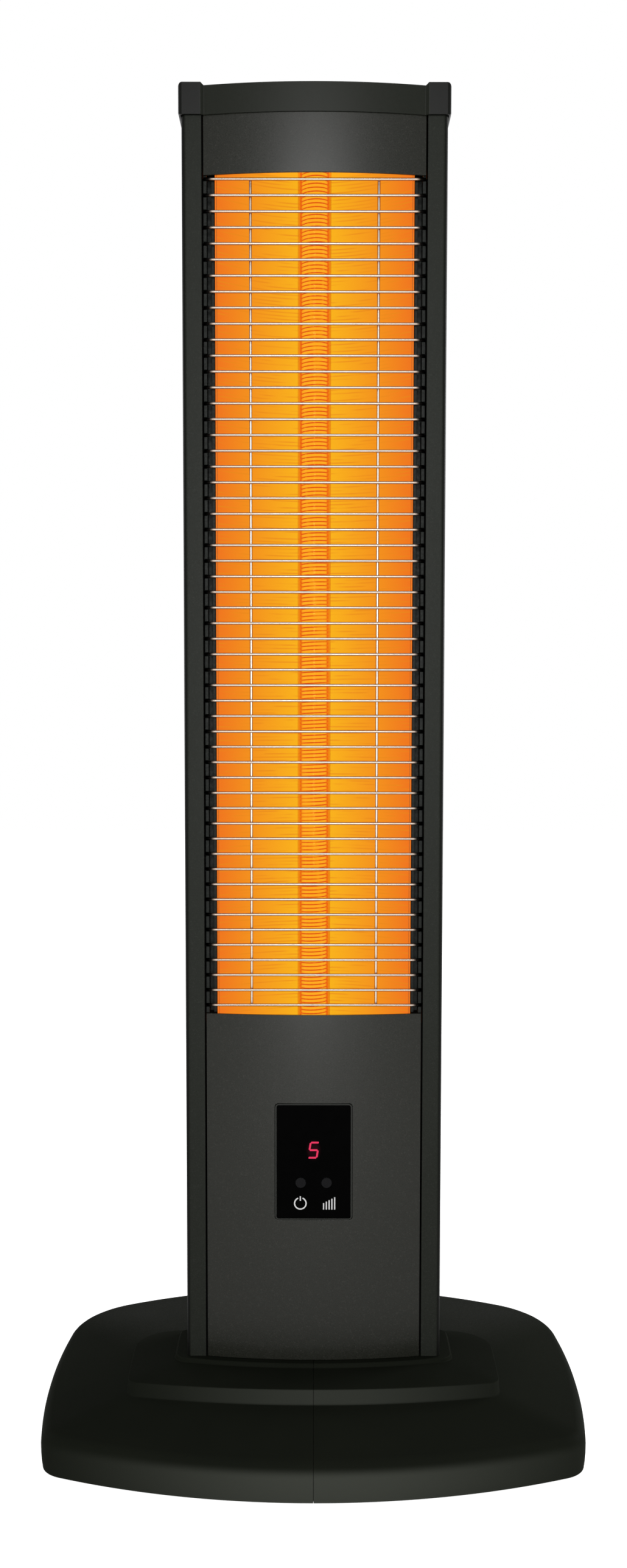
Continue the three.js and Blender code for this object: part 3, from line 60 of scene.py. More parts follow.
# %% [markdown]
# ## The camera
#
# The photograph looks almost straight at the column from about half its height, tilted down a
# little, so that the base shows its top. The column's face is one metre away. The picture's
# optical centre lies a little below its middle, so a small vertical shift is needed.

# %% Camera
PHOTO_WIDTH, PHOTO_HEIGHT = 1030, 2576
FOCAL_PIXELS = 2664
OPTICAL_CENTRE = (516, 1383)
CAMERA_PLACE = Vector((0, -1047, 450.8)) * MM
PITCH = math.radians(4.35)
ROLL = math.radians(-0.06)
SENSOR = 36

bpy.ops.object.camera_add(location=CAMERA_PLACE, rotation=(math.pi / 2 - PITCH, ROLL, 0))
camera = bpy.context.object
camera.data.sensor_width = SENSOR
camera.data.lens = FOCAL_PIXELS / PHOTO_HEIGHT * SENSOR
camera.data.shift_x = (PHOTO_WIDTH / 2 - OPTICAL_CENTRE[0]) / PHOTO_HEIGHT
camera.data.shift_y = (OPTICAL_CENTRE[1] - PHOTO_HEIGHT / 2) / PHOTO_HEIGHT
bpy.context.scene.camera = camera
print("lens", round(camera.data.lens, 2), "mm")

# %% [markdown]
# ## Helpers for modelling
#
# An operator works on everything that is selected, so each step first says what is picked. Faces
# are picked in code by a test on their centre and normal, as a hand would click on them.

# %% Picking
FACES_IT = 0.9  # a normal whose share along a direction is larger faces that way


def pick(*objects):
    bpy.ops.object.select_all(action="DESELECT")
    for item in objects:
        item.select_set(True)
    bpy.context.view_layer.objects.active = objects[0]


def edit_whole(piece):
    """Enters edit mode with the whole mesh selected."""
    pick(piece)
    bpy.ops.object.mode_set(mode="EDIT")
    bpy.ops.mesh.select_all(action="SELECT")


def leave_edit():
    bpy.ops.object.mode_set(mode="OBJECT")


def pick_faces(piece, test):
    """Selects the faces whose centre and normal pass the test, and enters edit mode."""
    edit_whole(piece)
    bpy.ops.mesh.select_all(action="DESELECT")
    bpy.ops.mesh.select_mode(type="FACE")
    leave_edit()
    for face in piece.data.polygons:
        face.select = test(face.center, face.normal)
    bpy.ops.object.mode_set(mode="EDIT")


# %% Shaping
MERGED_WITHIN = 0.002 * MM


def apply_modifier(piece, kind, **settings):
    pick(piece)
    modifier = piece.modifiers.new(kind.lower(), kind)
    for name, value in settings.items():
        setattr(modifier, name, value)
    bpy.ops.object.modifier_apply(modifier=modifier.name)


def settle(piece):
    """Moves the object's place into its mesh."""
    pick(piece)
    bpy.ops.object.transform_apply(location=True, rotation=True, scale=True)


def outward(piece):
    """Merges doubled points and turns every face outwards."""
    edit_whole(piece)
    bpy.ops.mesh.remove_doubles(threshold=MERGED_WITHIN)
    bpy.ops.mesh.normals_make_consistent(inside=False)
    leave_edit()


def smooth(piece, angle=40):
    """Shades smooth wherever the surface bends by less than the angle."""
    pick(piece)
    bpy.ops.object.shade_smooth_by_angle(angle=math.radians(angle))


def round_edges(piece, width, segments=2, angle=28):
    """Rounds the sharp edges, then lets the flat faces keep their own normals."""
    apply_modifier(piece, "BEVEL", width=width * MM, segments=segments, limit_method="ANGLE",
                   angle_limit=math.radians(angle), use_clamp_overlap=True)
    smooth(piece)
    apply_modifier(piece, "WEIGHTED_NORMAL", keep_sharp=True)


def join(first, *others):
    pick(first, *others)
    bpy.ops.object.join()
    return first


# %% [markdown]
# A finished piece takes a material and rides on its CAD body. Where it stands for a CAD node,
# that node is hidden.

# %% Dressing
FLAT_WITHIN = math.radians(0.4)  # triangles that meet at less are one flat face


def dress(piece, material, node, stands_for_it=True):
    """Gives a piece its material and the body of a CAD node, and hides a node that it stands for."""
    piece.data.materials.clear()
    piece.data.materials.append(material)
    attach(piece, BODY_OF[node])
    if stands_for_it:
        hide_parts(node)
    print(piece.name, "in", material.name, "-", len(piece.data.polygons), "faces")
    return piece


def refine(node, material, edge, segments=2, angle=28, reshape=None):
    """A copy of a CAD node whose loose triangles are merged and whose edges are rounded."""
    piece = bpy.data.objects.new(node + "_finished", frame["nodes"][node].data.copy())
    bpy.context.scene.collection.objects.link(piece)
    outward(piece)
    edit_whole(piece)
    bpy.ops.mesh.dissolve_limited(angle_limit=FLAT_WITHIN)
    leave_edit()
    if reshape:
        reshape(piece)
    round_edges(piece, edge, segments, angle)
    return dress(piece, material, node)


# %% [markdown]
# ## Helpers for materials
#
# Colours are written as on a paint card, in sRGB hex, and one function turns them to the linear
# values that the renderer mixes. Pattern sizes are real millimetres: a noise of scale 1000 / s has
# features about s millimetres across, because Object coordinates are in metres. One function adds
# every node. Its inputs are given by name, or in the order in which the node shows them.

# %% Colours and nodes
SOFT = {"interpolation_type": "SMOOTHSTEP"}  # for Map Range: a mask with soft ends
COLOURS = {"data_type": "RGBA"}  # for Mix: from one colour to another
NOISE_RANGE = (0.3, 0.7)  # a noise seldom leaves it


def linear(hex_colour):
    parts = [int(hex_colour[i:i + 2], 16) / 255 for i in (1, 3, 5)]
    return (*[c / 12.92 if c <= 0.04045 else ((c + 0.055) / 1.055) ** 2.4 for c in parts], 1.0)


def per_mm(size):
    return 1 / (size * MM)


def add(tree, kind, inputs=(), output=None, **settings):
    """Adds a node and gives one of its outputs, the first that it shows if none is named."""
    node = tree.nodes.new("ShaderNode" + kind)
    for name, value in settings.items():
        setattr(node, name, value)
    if isinstance(inputs, dict):
        pairs = [(node.inputs[name], value) for name, value in inputs.items()]
    else:
        pairs = zip([socket for socket in node.inputs if socket.enabled], inputs)
    for socket, value in pairs:
        if isinstance(value, bpy.types.NodeSocket):
            tree.links.new(value, socket)
        else:
            socket.default_value = value
    return node.outputs[output] if output else next(s for s in node.outputs if s.enabled)


def plug(tree, node, sources):
    for name, source in sources.items():
        tree.links.new(source, node.inputs[name])


def new_material(name, finish):
    """A material, its node tree, its shader and the coordinates that its patterns follow."""
    material = bpy.data.materials.new(name)
    material.use_nodes = True
    tree = material.node_tree
    shader = tree.nodes["Principled BSDF"]
    for key, value in finish.items():
        shader.inputs[key].default_value = value
    print("material", name)
    return material, tree, shader, add(tree, "TexCoord", output="Object")


def to_either_side(tree, vector):
    """The size of a vector's X: how far a point lies, or a face is turned, to either side."""
    return add(tree, "Math", (add(tree, "SeparateXYZ", (vector,), "X"),), operation="ABSOLUTE")


# %% [markdown]
# ## Powder coat on the column
#
# The column is aluminium and steel under an anthracite powder coat. The powder melts into a fine
# orange-peel skin with small flecks that catch the light. The real grit is about 0.2 mm, too fine
# to show at this distance, so it is drawn at 0.4 mm. The flanks just behind the column's face
# mirror nothing bright, so a painted shade darkens the coat's colour there.

# %% Powder coat
FACE_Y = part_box("side_profile_left")[0].y
FLANK_DEPTH = 4 * MM
GRIT = 0.4
FLECK_SHARE = 0.12


def painted_flank_shade(tree, place):
    """Painted shade: how far a face near the column's front is turned to the side."""
    turned = to_either_side(tree, add(tree, "TexCoord", output="Normal"))
    sideways = add(tree, "MapRange", (turned, 0.15, 0.6), **SOFT)
    depth = add(tree, "SeparateXYZ", (place,), "Y")
    near = add(tree, "MapRange", (depth, FACE_Y + 2 * FLANK_DEPTH, FACE_Y + FLANK_DEPTH), **SOFT)
    return add(tree, "Math", (sideways, near), operation="MULTIPLY")


def powder_coat(name, base, fleck, gloss, rough):
    material, tree, shader, place = new_material(name, {"Specular IOR Level": gloss})
    skin = add(tree, "TexNoise", (place, per_mm(GRIT), 3.0, 0.6))
    cells = add(tree, "TexVoronoi", {"Vector": place, "Scale": per_mm(GRIT * 1.2)}, "Color")
    tone = add(tree, "SeparateColor", (cells,), "Red")
    spark = add(tree, "MapRange", (tone, 1 - FLECK_SHARE, 1.0), **SOFT)
    grain = add(tree, "TexNoise", (place, per_mm(GRIT * 2), 4.0, 0.7))
    cloud = add(tree, "MapRange", (grain, 0.35, 0.65), **SOFT)
    coat = add(tree, "Mix", (cloud, linear(base[0]), linear(base[1])), **COLOURS)
    coat = add(tree, "Mix", (spark, coat, linear(fleck)), **COLOURS)
    plug(tree, shader, {
        # the flanks' painted shade darkens the coat's colour
        "Base Color": add(tree, "Mix", (painted_flank_shade(tree, place), coat, linear("#0a0b09")), **COLOURS),
        "Roughness": add(tree, "MapRange", (skin, *NOISE_RANGE, *rough), **SOFT),
        "Normal": add(tree, "Bump", {"Height": skin, "Distance": 0.03 * MM, "Strength": 0.3}),
    })
    return material


dark_coat = powder_coat("anthracite_powder_coat_on_profiles", ("#1a1c18", "#1e201c"), "#242622",
                        gloss=0.05, rough=(0.36, 0.5))
panel_coat = powder_coat("anthracite_powder_coat_on_panels", ("#151611", "#1a1b16"), "#282824",
                         gloss=0.22, rough=(0.25, 0.35))
dark_sheet = powder_coat("anthracite_powder_coat_on_sheet", ("#242622", "#282a26"), "#2e302c",
                         gloss=0.08, rough=(0.45, 0.6))

# %% [markdown]
# ## Black mouldings
#
# Cap and base are injection-moulded in black ABS with a spark-eroded grain. The grain breaks up
# the reflections, so the plastic looks velvety, a shade darker than the coated metal. The steep
# walls of the base carry a painted highlight, paler in the middle and hardly at the corners, and
# the cap's raised ends carry a painted shade that makes them darker than its middle.

# %% Moulded plastic
def moulded(name, base, rough=(0.42, 0.6), grain=0.7, level=0.3, depth=0.04, painted_light=None):
    material, tree, shader, place = new_material(name, {"Specular IOR Level": level})
    texture = add(tree, "TexNoise", (place, per_mm(grain), 2.0, 0.65))
    drift = add(tree, "TexNoise", (place, per_mm(45)))
    colour = add(tree, "Mix", (drift, linear(base[0]), linear(base[1])), **COLOURS)
    # painted light: a painted highlight or painted shade is mixed into the colour
    if painted_light:
        mask, tone = painted_light
        colour = add(tree, "Mix", (mask(tree, place), colour, linear(tone)), **COLOURS)
    plug(tree, shader, {
        "Base Color": colour,
        "Roughness": add(tree, "MapRange", (texture, *NOISE_RANGE, *rough), **SOFT),
        "Normal": add(tree, "Bump", {"Height": texture, "Distance": depth * MM, "Strength": 0.5}),
    })
    return material


bezel_plastic = moulded("satin_black_abs_trim", ("#262725", "#2a2b28"), (0.35, 0.5), level=0.1)
component_plastic = moulded("black_component_resin", ("#17171a", "#1e1e21"), (0.35, 0.5))
white_plastic = moulded("off_white_terminal_nylon", ("#d8d6cc", "#e2e0d8"), (0.4, 0.5))
ceramic_body = moulded("unglazed_steatite", ("#dcd6c8", "#e9e4d8"), (0.65, 0.85), 1.2, 0.4, 0.08)
foot_rubber = moulded("matt_black_rubber", ("#111111", "#181818"), (0.75, 0.95), 0.9, 0.25, 0.08)
lead_rubber = moulded("red_silicone_sleeve", ("#b33a24", "#c8452c"), (0.5, 0.65), 1.5)
button_plastic = moulded("smoked_key_plastic", ("#121213", "#161617"), (0.45, 0.6), 1.0, 0.02, 0.01)
channel_coat = moulded("satin_black_coated_steel", ("#151715", "#191b19"), (0.4, 0.55), 1.5, 0.06,
                       0.02)

# %% Cap and base
BLOCK_FROM = 68 * MM
# where the painted highlight on the base's walls lies and how it fades
SHEEN_TOP = 45 * MM
SHEEN_MIDDLE = 9 * MM
RIM_SHEEN, STEP_SHEEN = 195 * MM, 135 * MM  # half widths over which rim and platform wall fade
RIM_BELOW, STEP_ABOVE = 24 * MM, 32 * MM


def painted_shade_on_cap_ends(tree, place):
    """Painted shade on the cap's raised ends."""
    out = to_either_side(tree, place)
    return add(tree, "MapRange", (out, BLOCK_FROM, BLOCK_FROM + 1 * MM), **SOFT)


def painted_wall_highlight(tree, place):
    """How much painted highlight a point of the base takes: steep faces, low ones, near the middle.
    """
    upright = add(tree, "SeparateXYZ", (add(tree, "TexCoord", output="Normal"),), "Z")
    steep = add(tree, "MapRange", (upright, 0.6, 0.0), **SOFT)
    point = add(tree, "SeparateXYZ", (place,)).node.outputs
    below = add(tree, "MapRange", (point["Z"], SHEEN_TOP, SHEEN_TOP - 0.5 * MM), **SOFT)
    wall = add(tree, "Math", (steep, below), operation="MULTIPLY")
    reach = add(tree, "MapRange", (point["Z"], RIM_BELOW, STEP_ABOVE, RIM_SHEEN, STEP_SHEEN),
                **SOFT)
    across = add(tree, "Math", (point["X"], SHEEN_MIDDLE), operation="SUBTRACT")
    across = add(tree, "Math", (across,), operation="ABSOLUTE")
    share = add(tree, "Math", (across, reach), operation="DIVIDE")
    central = add(tree, "MapRange", (share, 1.0, 0.0), **SOFT)
    return add(tree, "Math", (wall, central), operation="MULTIPLY")


# the cap's raised ends get a painted shade
cap_plastic = moulded("grained_black_abs_cap", ("#161813", "#191b16"), (0.28, 0.4), level=0.11,
                      painted_light=(painted_shade_on_cap_ends, "#090a08"))
# the base's steep walls get a painted highlight
base_plastic = moulded("grained_black_abs_base", ("#121410", "#161813"), (0.5, 0.65), level=0.003,
                       painted_light=(painted_wall_highlight, "#363833"))

# %% [markdown]
# ## Bare metals
#
# Zinc plating has a faint spangle, a black passivated screw the same under a dark film, and
# extruded aluminium fine lines along its length. The zinc in the element's glow is painted brown,
# for the orange light that falls on it.

# %% Metals
def metal(name, base, rough, grain=2.5, stretch=(1, 1, 1)):
    material, tree, shader, place = new_material(name, {"Metallic": 1.0})
    lie = add(tree, "Mapping", {"Vector": place, "Scale": stretch})
    figure = add(tree, "TexNoise", (lie, per_mm(grain), 3.0))
    plug(tree, shader, {
        "Base Color": add(tree, "Mix", (figure, linear(base[0]), linear(base[1])), **COLOURS),
        "Roughness": add(tree, "MapRange", (figure, *NOISE_RANGE, *rough), **SOFT),
    })
    return material


zinc = metal("zinc_plated_steel", ("#9ea2a6", "#b9bdc0"), (0.28, 0.45))
# painted light: the element's orange glow is put into the zinc's colour
lit_zinc = metal("zinc_plated_steel_in_the_glow", ("#6b5230", "#7a5e38"), (0.4, 0.55))
black_zinc = metal("black_zinc_screw", ("#2a2b2e", "#37383b"), (0.3, 0.45))
aluminium = metal("extruded_aluminium", ("#b9bbbc", "#cfd0d1"), (0.25, 0.4), 1.0, (1, 1, 0.02))

# %% [markdown]
# The guard is chrome-plated wire. Before a glowing sheet it is pale only along its front: its
# flanks mirror the dark housing and the orange sheet behind, and this reflection is painted into
# the plating's colour by how far its surface turns away from the front. The two uprights lie
# deeper than the level wires' fronts and get a brighter painted highlight. Beyond the bends the
# ends lie in their notches and mirror nothing but black, so a painted shade makes them near black.

# %% Chrome wire
WIRE_BRIGHT_HALF = 60.5 * MM  # how far out the wires still mirror the studio
NOTCH_FADE = 3.5 * MM
UPRIGHT_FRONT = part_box("guard_grille")[0].y + 1.15 * MM  # nearer than this, only level wires lie
chrome, tree, shader, place = new_material("chrome_plated_wire", {"Metallic": 1.0})
depth = add(tree, "SeparateXYZ", (place,), "Y")
# painted highlight: the uprights are given a brighter colour
standing = add(tree, "MapRange", (depth, UPRIGHT_FRONT, UPRIGHT_FRONT + 0.2 * MM), **SOFT)
shine = add(tree, "Mix", (standing, linear("#a1958a"), linear("#d6cabc")), **COLOURS)
# painted reflection: faces turned from the front take a dark orange tint
facing = add(tree, "SeparateXYZ", (add(tree, "TexCoord", output="Normal"),), "Y")
front = add(tree, "MapRange", (facing, -0.55, -0.93), **SOFT)
plating = add(tree, "Mix", (front, linear("#a87e64"), shine), **COLOURS)
# painted shade: the ends in their notches are near black
out = to_either_side(tree, place)
in_notch = add(tree, "MapRange", (out, WIRE_BRIGHT_HALF, WIRE_BRIGHT_HALF + NOTCH_FADE), **SOFT)
polish = add(tree, "TexNoise", (place, per_mm(3)))
plug(tree, shader, {
    "Base Color": add(tree, "Mix", (in_notch, plating, linear("#100e0d")), **COLOURS),
    "Roughness": add(tree, "MapRange", (polish, *NOISE_RANGE, 0.34, 0.42), **SOFT),
})

# %% [markdown]
# ## Fibreglass boards
#
# A circuit board is woven glass under a green solder mask: the weave shows as a fine
# checkered sheen, and the copper under the mask as slightly lighter tracks.

# %% Circuit board
board_green, tree, shader, place = new_material("green_solder_mask", {"Roughness": 0.35})
weave = add(tree, "TexChecker", {"Vector": place, "Scale": per_mm(1.2)}, "Fac")
tracks = add(tree, "MapRange", (add(tree, "TexNoise", (place, per_mm(7), 0.0)), 0.49, 0.52), **SOFT)
mask = add(tree, "Mix", (weave, linear("#1c5a34"), linear("#206039")), **COLOURS)
plug(tree, shader, {
    "Base Color": add(tree, "Mix", (tracks, mask, linear("#2f7a48")), **COLOURS),
    "Normal": add(tree, "Bump", {"Height": tracks, "Distance": 0.04 * MM, "Strength": 0.4}),
})

# %% [markdown]
# ## The lit reflector
#
# The trough behind the element is polished sheet that throws the element's light forward. It is
# brightest beside the tube and falls to a deep orange at its hems, with fine level streaks at the
# pitch of the winding, the stretched images of its turns. The glow is drawn on the sheet by its
# distance from the middle, and only on the side that faces the element: the back is bare metal.

# %% Reflector
REFLECTOR_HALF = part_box("reflector")[1].x
BESIDE_TUBE = 9 * MM
STREAK_PITCH = 2.15
STREAK_LENGTHS = (0.12, 0.12, 1)  # scales: the patches in which streaks show are long and low
reflector_sheet, tree, shader, place = new_material("polished_reflector_sheet",
                                                    {"Metallic": 1.0, "Roughness": 0.4})
spread = add(tree, "MapRange", (to_either_side(tree, place), BESIDE_TUBE, REFLECTOR_HALF))
glow = add(tree, "Mix", (spread, linear("#f9b31c"), linear("#f0741f")), **COLOURS)
height = add(tree, "SeparateXYZ", (place,), "Z")
phase = add(tree, "Math", (height, 2 * math.pi * per_mm(STREAK_PITCH)), operation="MULTIPLY")
wave = add(tree, "Math", (phase,), operation="SINE")
lying = add(tree, "Mapping", {"Vector": place, "Scale": STREAK_LENGTHS})
patches = add(tree, "TexNoise", (lying, per_mm(2.4), 1.0))
patches = add(tree, "MapRange", (patches, 0.42, 0.66, 0.0, 0.7), **SOFT)
crests = add(tree, "MapRange", (wave, 0.0, 0.9), **SOFT)
streak = add(tree, "Math", (crests, patches), operation="MULTIPLY")
facing = add(tree, "SeparateXYZ", (add(tree, "TexCoord", output="Normal"),), "Y")
lit_side = add(tree, "MapRange", (facing, 0.05, -0.2), **SOFT)
sheet = add(tree, "Mix", (streak, linear("#140c05"), linear("#1c1208")), **COLOURS)
plug(tree, shader, {
    "Base Color": add(tree, "Mix", (lit_side, linear("#8e9092"), sheet), **COLOURS),
    "Emission Color": add(tree, "Mix", (streak, glow, linear("#e8881c")), **COLOURS),
    "Emission Strength": lit_side,
    "Normal": add(tree, "Bump", {"Height": wave, "Distance": 0.02 * MM, "Strength": 0.2}),
})

# %% [markdown]
# The zinc end plates close the trough above and below. The sides that face the element catch its
# light, so level faces of the plates take on the colour of the sheet beside the tube.

# %% Glow on the end plates
tree = lit_zinc.node_tree
upright = add(tree, "SeparateXYZ", (add(tree, "TexCoord", output="Normal"),), "Z")
upright = add(tree, "Math", (upright,), operation="ABSOLUTE")
level_face = add(tree, "MapRange", (upright, 0.5, 0.9), **SOFT)
across = to_either_side(tree, add(tree, "TexCoord", output="Object"))
spread = add(tree, "MapRange", (across, BESIDE_TUBE, REFLECTOR_HALF), **SOFT)
inside = add(tree, "MapRange", (across, REFLECTOR_HALF, REFLECTOR_HALF - 1.5 * MM), **SOFT)
plug(tree, tree.nodes["Principled BSDF"], {
    "Emission Color": add(tree, "Mix", (spread, linear("#f4a41c"), linear("#e8701e")), **COLOURS),
    "Emission Strength": add(tree, "Math", (level_face, inside), operation="MULTIPLY"),
})
print("glow between", round(BESIDE_TUBE / MM, 1), "and", round(REFLECTOR_HALF / MM, 1), "mm")

# %% [markdown]
# ## The glowing wire
#
# The resistance wire glows orange-yellow where it faces outwards. In the grooves between the turns
# a painted shade drops the glow to a dark orange, which follows from a point's distance to the
# tube's axis. The winding's two sides lie against the thick edges of the tube, and their glow is
# painted redder.

# %% Glowing wire
TUBE_LOW, TUBE_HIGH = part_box("quartz_tube")
AXIS = (TUBE_LOW + TUBE_HIGH) / 2
COIL_TURNS = 235
COIL_OUTER = 8.75
COIL_WIRE = 0.98  # radius: the turns lie almost against each other
GROOVE, CREST = (COIL_OUTER - 0.95 * COIL_WIRE) * MM, (COIL_OUTER - 0.4 * COIL_WIRE) * MM
SIDE_FROM, SIDE_TO = 6.6 * MM, 8.2 * MM
glowing_wire, tree, shader, place = new_material("glowing_resistance_wire", {
    "Roughness": 0.6, "Specular IOR Level": 0.02, "Emission Strength": 1.0})
centred = add(tree, "VectorMath", (place, (-AXIS.x, -AXIS.y, 0)), operation="ADD")
flat = add(tree, "VectorMath", (centred, (1, 1, 0)), operation="MULTIPLY")
reach = add(tree, "VectorMath", (flat,), operation="LENGTH")
# painted shade: the glow is darker in the grooves between the turns
outer = add(tree, "MapRange", (reach, GROOVE, CREST), **SOFT)
glow_with_painted_groove_shade = add(tree, "Mix", (outer, linear("#dc4e16"), linear("#fdb62a")), **COLOURS)
# the winding's sides are painted redder
at_side = add(tree, "MapRange", (to_either_side(tree, place), SIDE_FROM, SIDE_TO), **SOFT)
oxide = add(tree, "TexNoise", (place, per_mm(0.6)))
plug(tree, shader, {
    "Base Color": add(tree, "Mix", (oxide, linear("#1a0803"), linear("#240b04")), **COLOURS),
    "Emission Color": add(tree, "Mix", (at_side, glow_with_painted_groove_shade, linear("#e6501a")), **COLOURS),
})

# %% [markdown]
# ## Quartz and smoked glass
#
# The tube is clear fused quartz. At its two sides light runs a long way through the wall and
# picks up the element's colour, which is painted into the glass's colour where its surface turns
# to the side. The display pane is black-dyed acrylic: it lets only the lit digit and a trace of the
# keys through, and the digit leaves a faint red halo in it.

# %% Glass
quartz, tree, shader, place = new_material("clear_fused_quartz", {
    "Roughness": 0.06, "IOR": 1.46, "Transmission Weight": 1.0, "Specular Tint": linear("#5a3c22")})
drift = add(tree, "TexNoise", (place, per_mm(30)))
clear = add(tree, "Mix", (drift, linear("#ffe9c4"), linear("#fff2dc")), **COLOURS)
# painted light: the tube's sides take the element's colour
turned = to_either_side(tree, add(tree, "TexCoord", output="Normal"))
at_side = add(tree, "MapRange", (turned, 0.8, 0.9), **SOFT)
plug(tree, shader, {
    "Base Color": add(tree, "Mix", (at_side, clear, linear("#f7cca2")), **COLOURS),
})

# %% Smoked pane
HALO_WIDTH, HALO_HEIGHT = 5.2, 7.6
digit_low, digit_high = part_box("digit_module")
DIGIT_PLACE = Vector(((digit_low.x + digit_high.x) / 2, 0, (digit_low.z + digit_high.z) / 2))
smoked, tree, shader, place = new_material("smoked_acrylic_pane", {"Specular IOR Level": 0.01})
haze = add(tree, "TexNoise", (place, per_mm(8)))
aside = add(tree, "VectorMath", (place, -DIGIT_PLACE), operation="ADD")
aside = add(tree, "VectorMath", (aside, (per_mm(HALO_WIDTH), 0, per_mm(HALO_HEIGHT))),
            operation="MULTIPLY")
aside = add(tree, "VectorMath", (aside,), operation="LENGTH")
plug(tree, shader, {
    "Base Color": add(tree, "Mix", (haze, linear("#010101"), linear("#020202")), **COLOURS),
    "Roughness": add(tree, "MapRange", (haze, *NOISE_RANGE, 0.1, 0.16), **SOFT),
    "Emission Color": add(tree, "Mix", (haze, linear("#1c060c"), linear("#24080f")), **COLOURS),
    "Emission Strength": add(tree, "MapRange", (aside, 1.0, 0.35), **SOFT),
})

# %% [markdown]
# The digit is a lit diffuser, and the symbols are pale ink with a weak painted glow. Both
# are one kind of finish, a colour that shines over a paint, each a little uneven.

# %% Lit and printed signs
def sign(name, light, paint, strength):
    material, tree, shader, place = new_material(name, {
        "Roughness": 0.4, "Specular IOR Level": 0.05, "Emission Strength": strength})
    cloud = add(tree, "TexNoise", (place, per_mm(1.5)))
    plug(tree, shader, {
        "Base Color": add(tree, "Mix", (cloud, linear(paint[0]), linear(paint[1])), **COLOURS),
        "Emission Color": add(tree, "Mix", (cloud, linear(light[0]), linear(light[1])), **COLOURS),
    })
    return material


lit_segment = sign("lit_red_segment", ("#e62d5a", "#ee3862"), ("#2a0a12", "#300c14"), 0.95)
# the symbols' glow is painted light
pale_ink = sign("pale_grey_screen_ink", ("#bcbcbc", "#c4c4c4"), ("#9c9c9c", "#a4a4a4"), 0.4)

# %% [markdown]
# ## The column's extrusions, panels and covers
#
# These CAD solids already have the right outline. What a machine leaves and a CAD solid lacks is
# the broken edge: a radius of a few tenths of a millimetre that draws a thin line of light.

# %% Column
CHAMFER_WIDTH, CHAMFER_HEIGHT = 1.1, 3.5
CHAMFER_KEPT = 0.3  # the cap's lower chamfer is lower and blunter than the CAD's
SLACK = 0.05


def blunt_chamfer(cap):
    outer = max(vertex.co.x for vertex in cap.data.vertices)
    edge = min(v.co.z for v in cap.data.vertices if abs(v.co.x) > outer - SLACK * MM)
    bottom = edge - CHAMFER_HEIGHT * MM
    for vertex in cap.data.vertices:
        rise = vertex.co.z - bottom
        at_edge = abs(vertex.co.x) > outer - (CHAMFER_WIDTH + SLACK) * MM
        if at_edge and 0 < rise < (CHAMFER_HEIGHT + SLACK) * MM:
            vertex.co.z = bottom + rise * CHAMFER_KEPT


for side in ("left", "right"):
    refine("side_profile_" + side, dark_coat, 0.35)
refine("header_panel", panel_coat, 0.25)
refine("lower_front_panel", panel_coat, 0.25)
refine("rear_cover", dark_sheet, 0.2)
refine("service_cover", dark_sheet, 0.2)
refine("top_cap", cap_plastic, 0.45, 3, reshape=blunt_chamfer)

# %% [markdown]
# Notched channels beside the window hold the guard's wires, and the reflector with its end plates
# and ceramic caps lies behind. A bracket and a clamp plate carry the column on the base. They too
# keep the CAD's shapes and get their edges broken.

# %% Window surround and supports
for side in ("left", "right"):
    refine("grille_channel_" + side, channel_coat, 0.18)
refine("reflector", reflector_sheet, 0.1)
for end in ("upper", "lower"):
    refine(end + "_end_plate", lit_zinc, 0.12)
    refine(end + "_ceramic_cap", ceramic_body, 0.5)
refine("foot_bracket", zinc, 0.3)
refine("clamp_plate", zinc, 0.3)
refine("cable_gland", bezel_plastic, 0.3)

# %% [markdown]
# ## The wire guard
#
# Fifty-four level wires are welded across two upright wires, and each end is bent back into its
# notch. One wire is a round bar whose ends are extruded round the bend, and an array repeats it.

# %% One guard wire
GUARD_LOW, GUARD_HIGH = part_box("guard_grille")
WIRE_COUNT = 54
WIRE_RADIUS = 0.85
WIRE_SIDES = 12
END_ROOM = 0.5
BEND_INSET, BEND_DEPTH = 4.8, 4.7
BEND_STEPS = 3
BEND_SPREAD = 1.25  # the bend ends steeper than the straight line from its start to its end

bend_start = GUARD_HIGH.x - END_ROOM * MM - BEND_INSET * MM
wire_y = GUARD_LOW.y + WIRE_RADIUS * MM
top_z = GUARD_HIGH.z - WIRE_RADIUS * MM
bottom_z = GUARD_LOW.z + WIRE_RADIUS * MM

bpy.ops.mesh.primitive_cylinder_add(
    vertices=WIRE_SIDES, radius=WIRE_RADIUS * MM, depth=2 * bend_start,
    location=(0, wire_y, top_z), rotation=(0, math.pi / 2, 0))
guard = bpy.context.object
guard.name = "guard_wires"
settle(guard)
for direction in (-1, 1):
    pick_faces(guard, lambda centre, normal: normal.x * direction > FACES_IT)
    for step in range(BEND_STEPS):
        turn = (step + 0.5) / BEND_STEPS * math.atan2(BEND_DEPTH, BEND_INSET) * BEND_SPREAD
        length = math.hypot(BEND_DEPTH, BEND_INSET) / BEND_STEPS * MM
        move = (direction * length * math.cos(turn), length * math.sin(turn), 0)
        bpy.ops.mesh.extrude_region_move(TRANSFORM_OT_translate={"value": move})
    leave_edit()
pitch = (top_z - bottom_z) / (WIRE_COUNT - 1)
apply_modifier(guard, "ARRAY", count=WIRE_COUNT, use_relative_offset=False,
               use_constant_offset=True, constant_offset_displace=(0, 0, -pitch))
print("guard pitch", round(pitch / MM, 3), "mm")

# %% [markdown]
# The two uprights stand behind the level wires and sink a little into them, as a weld does.

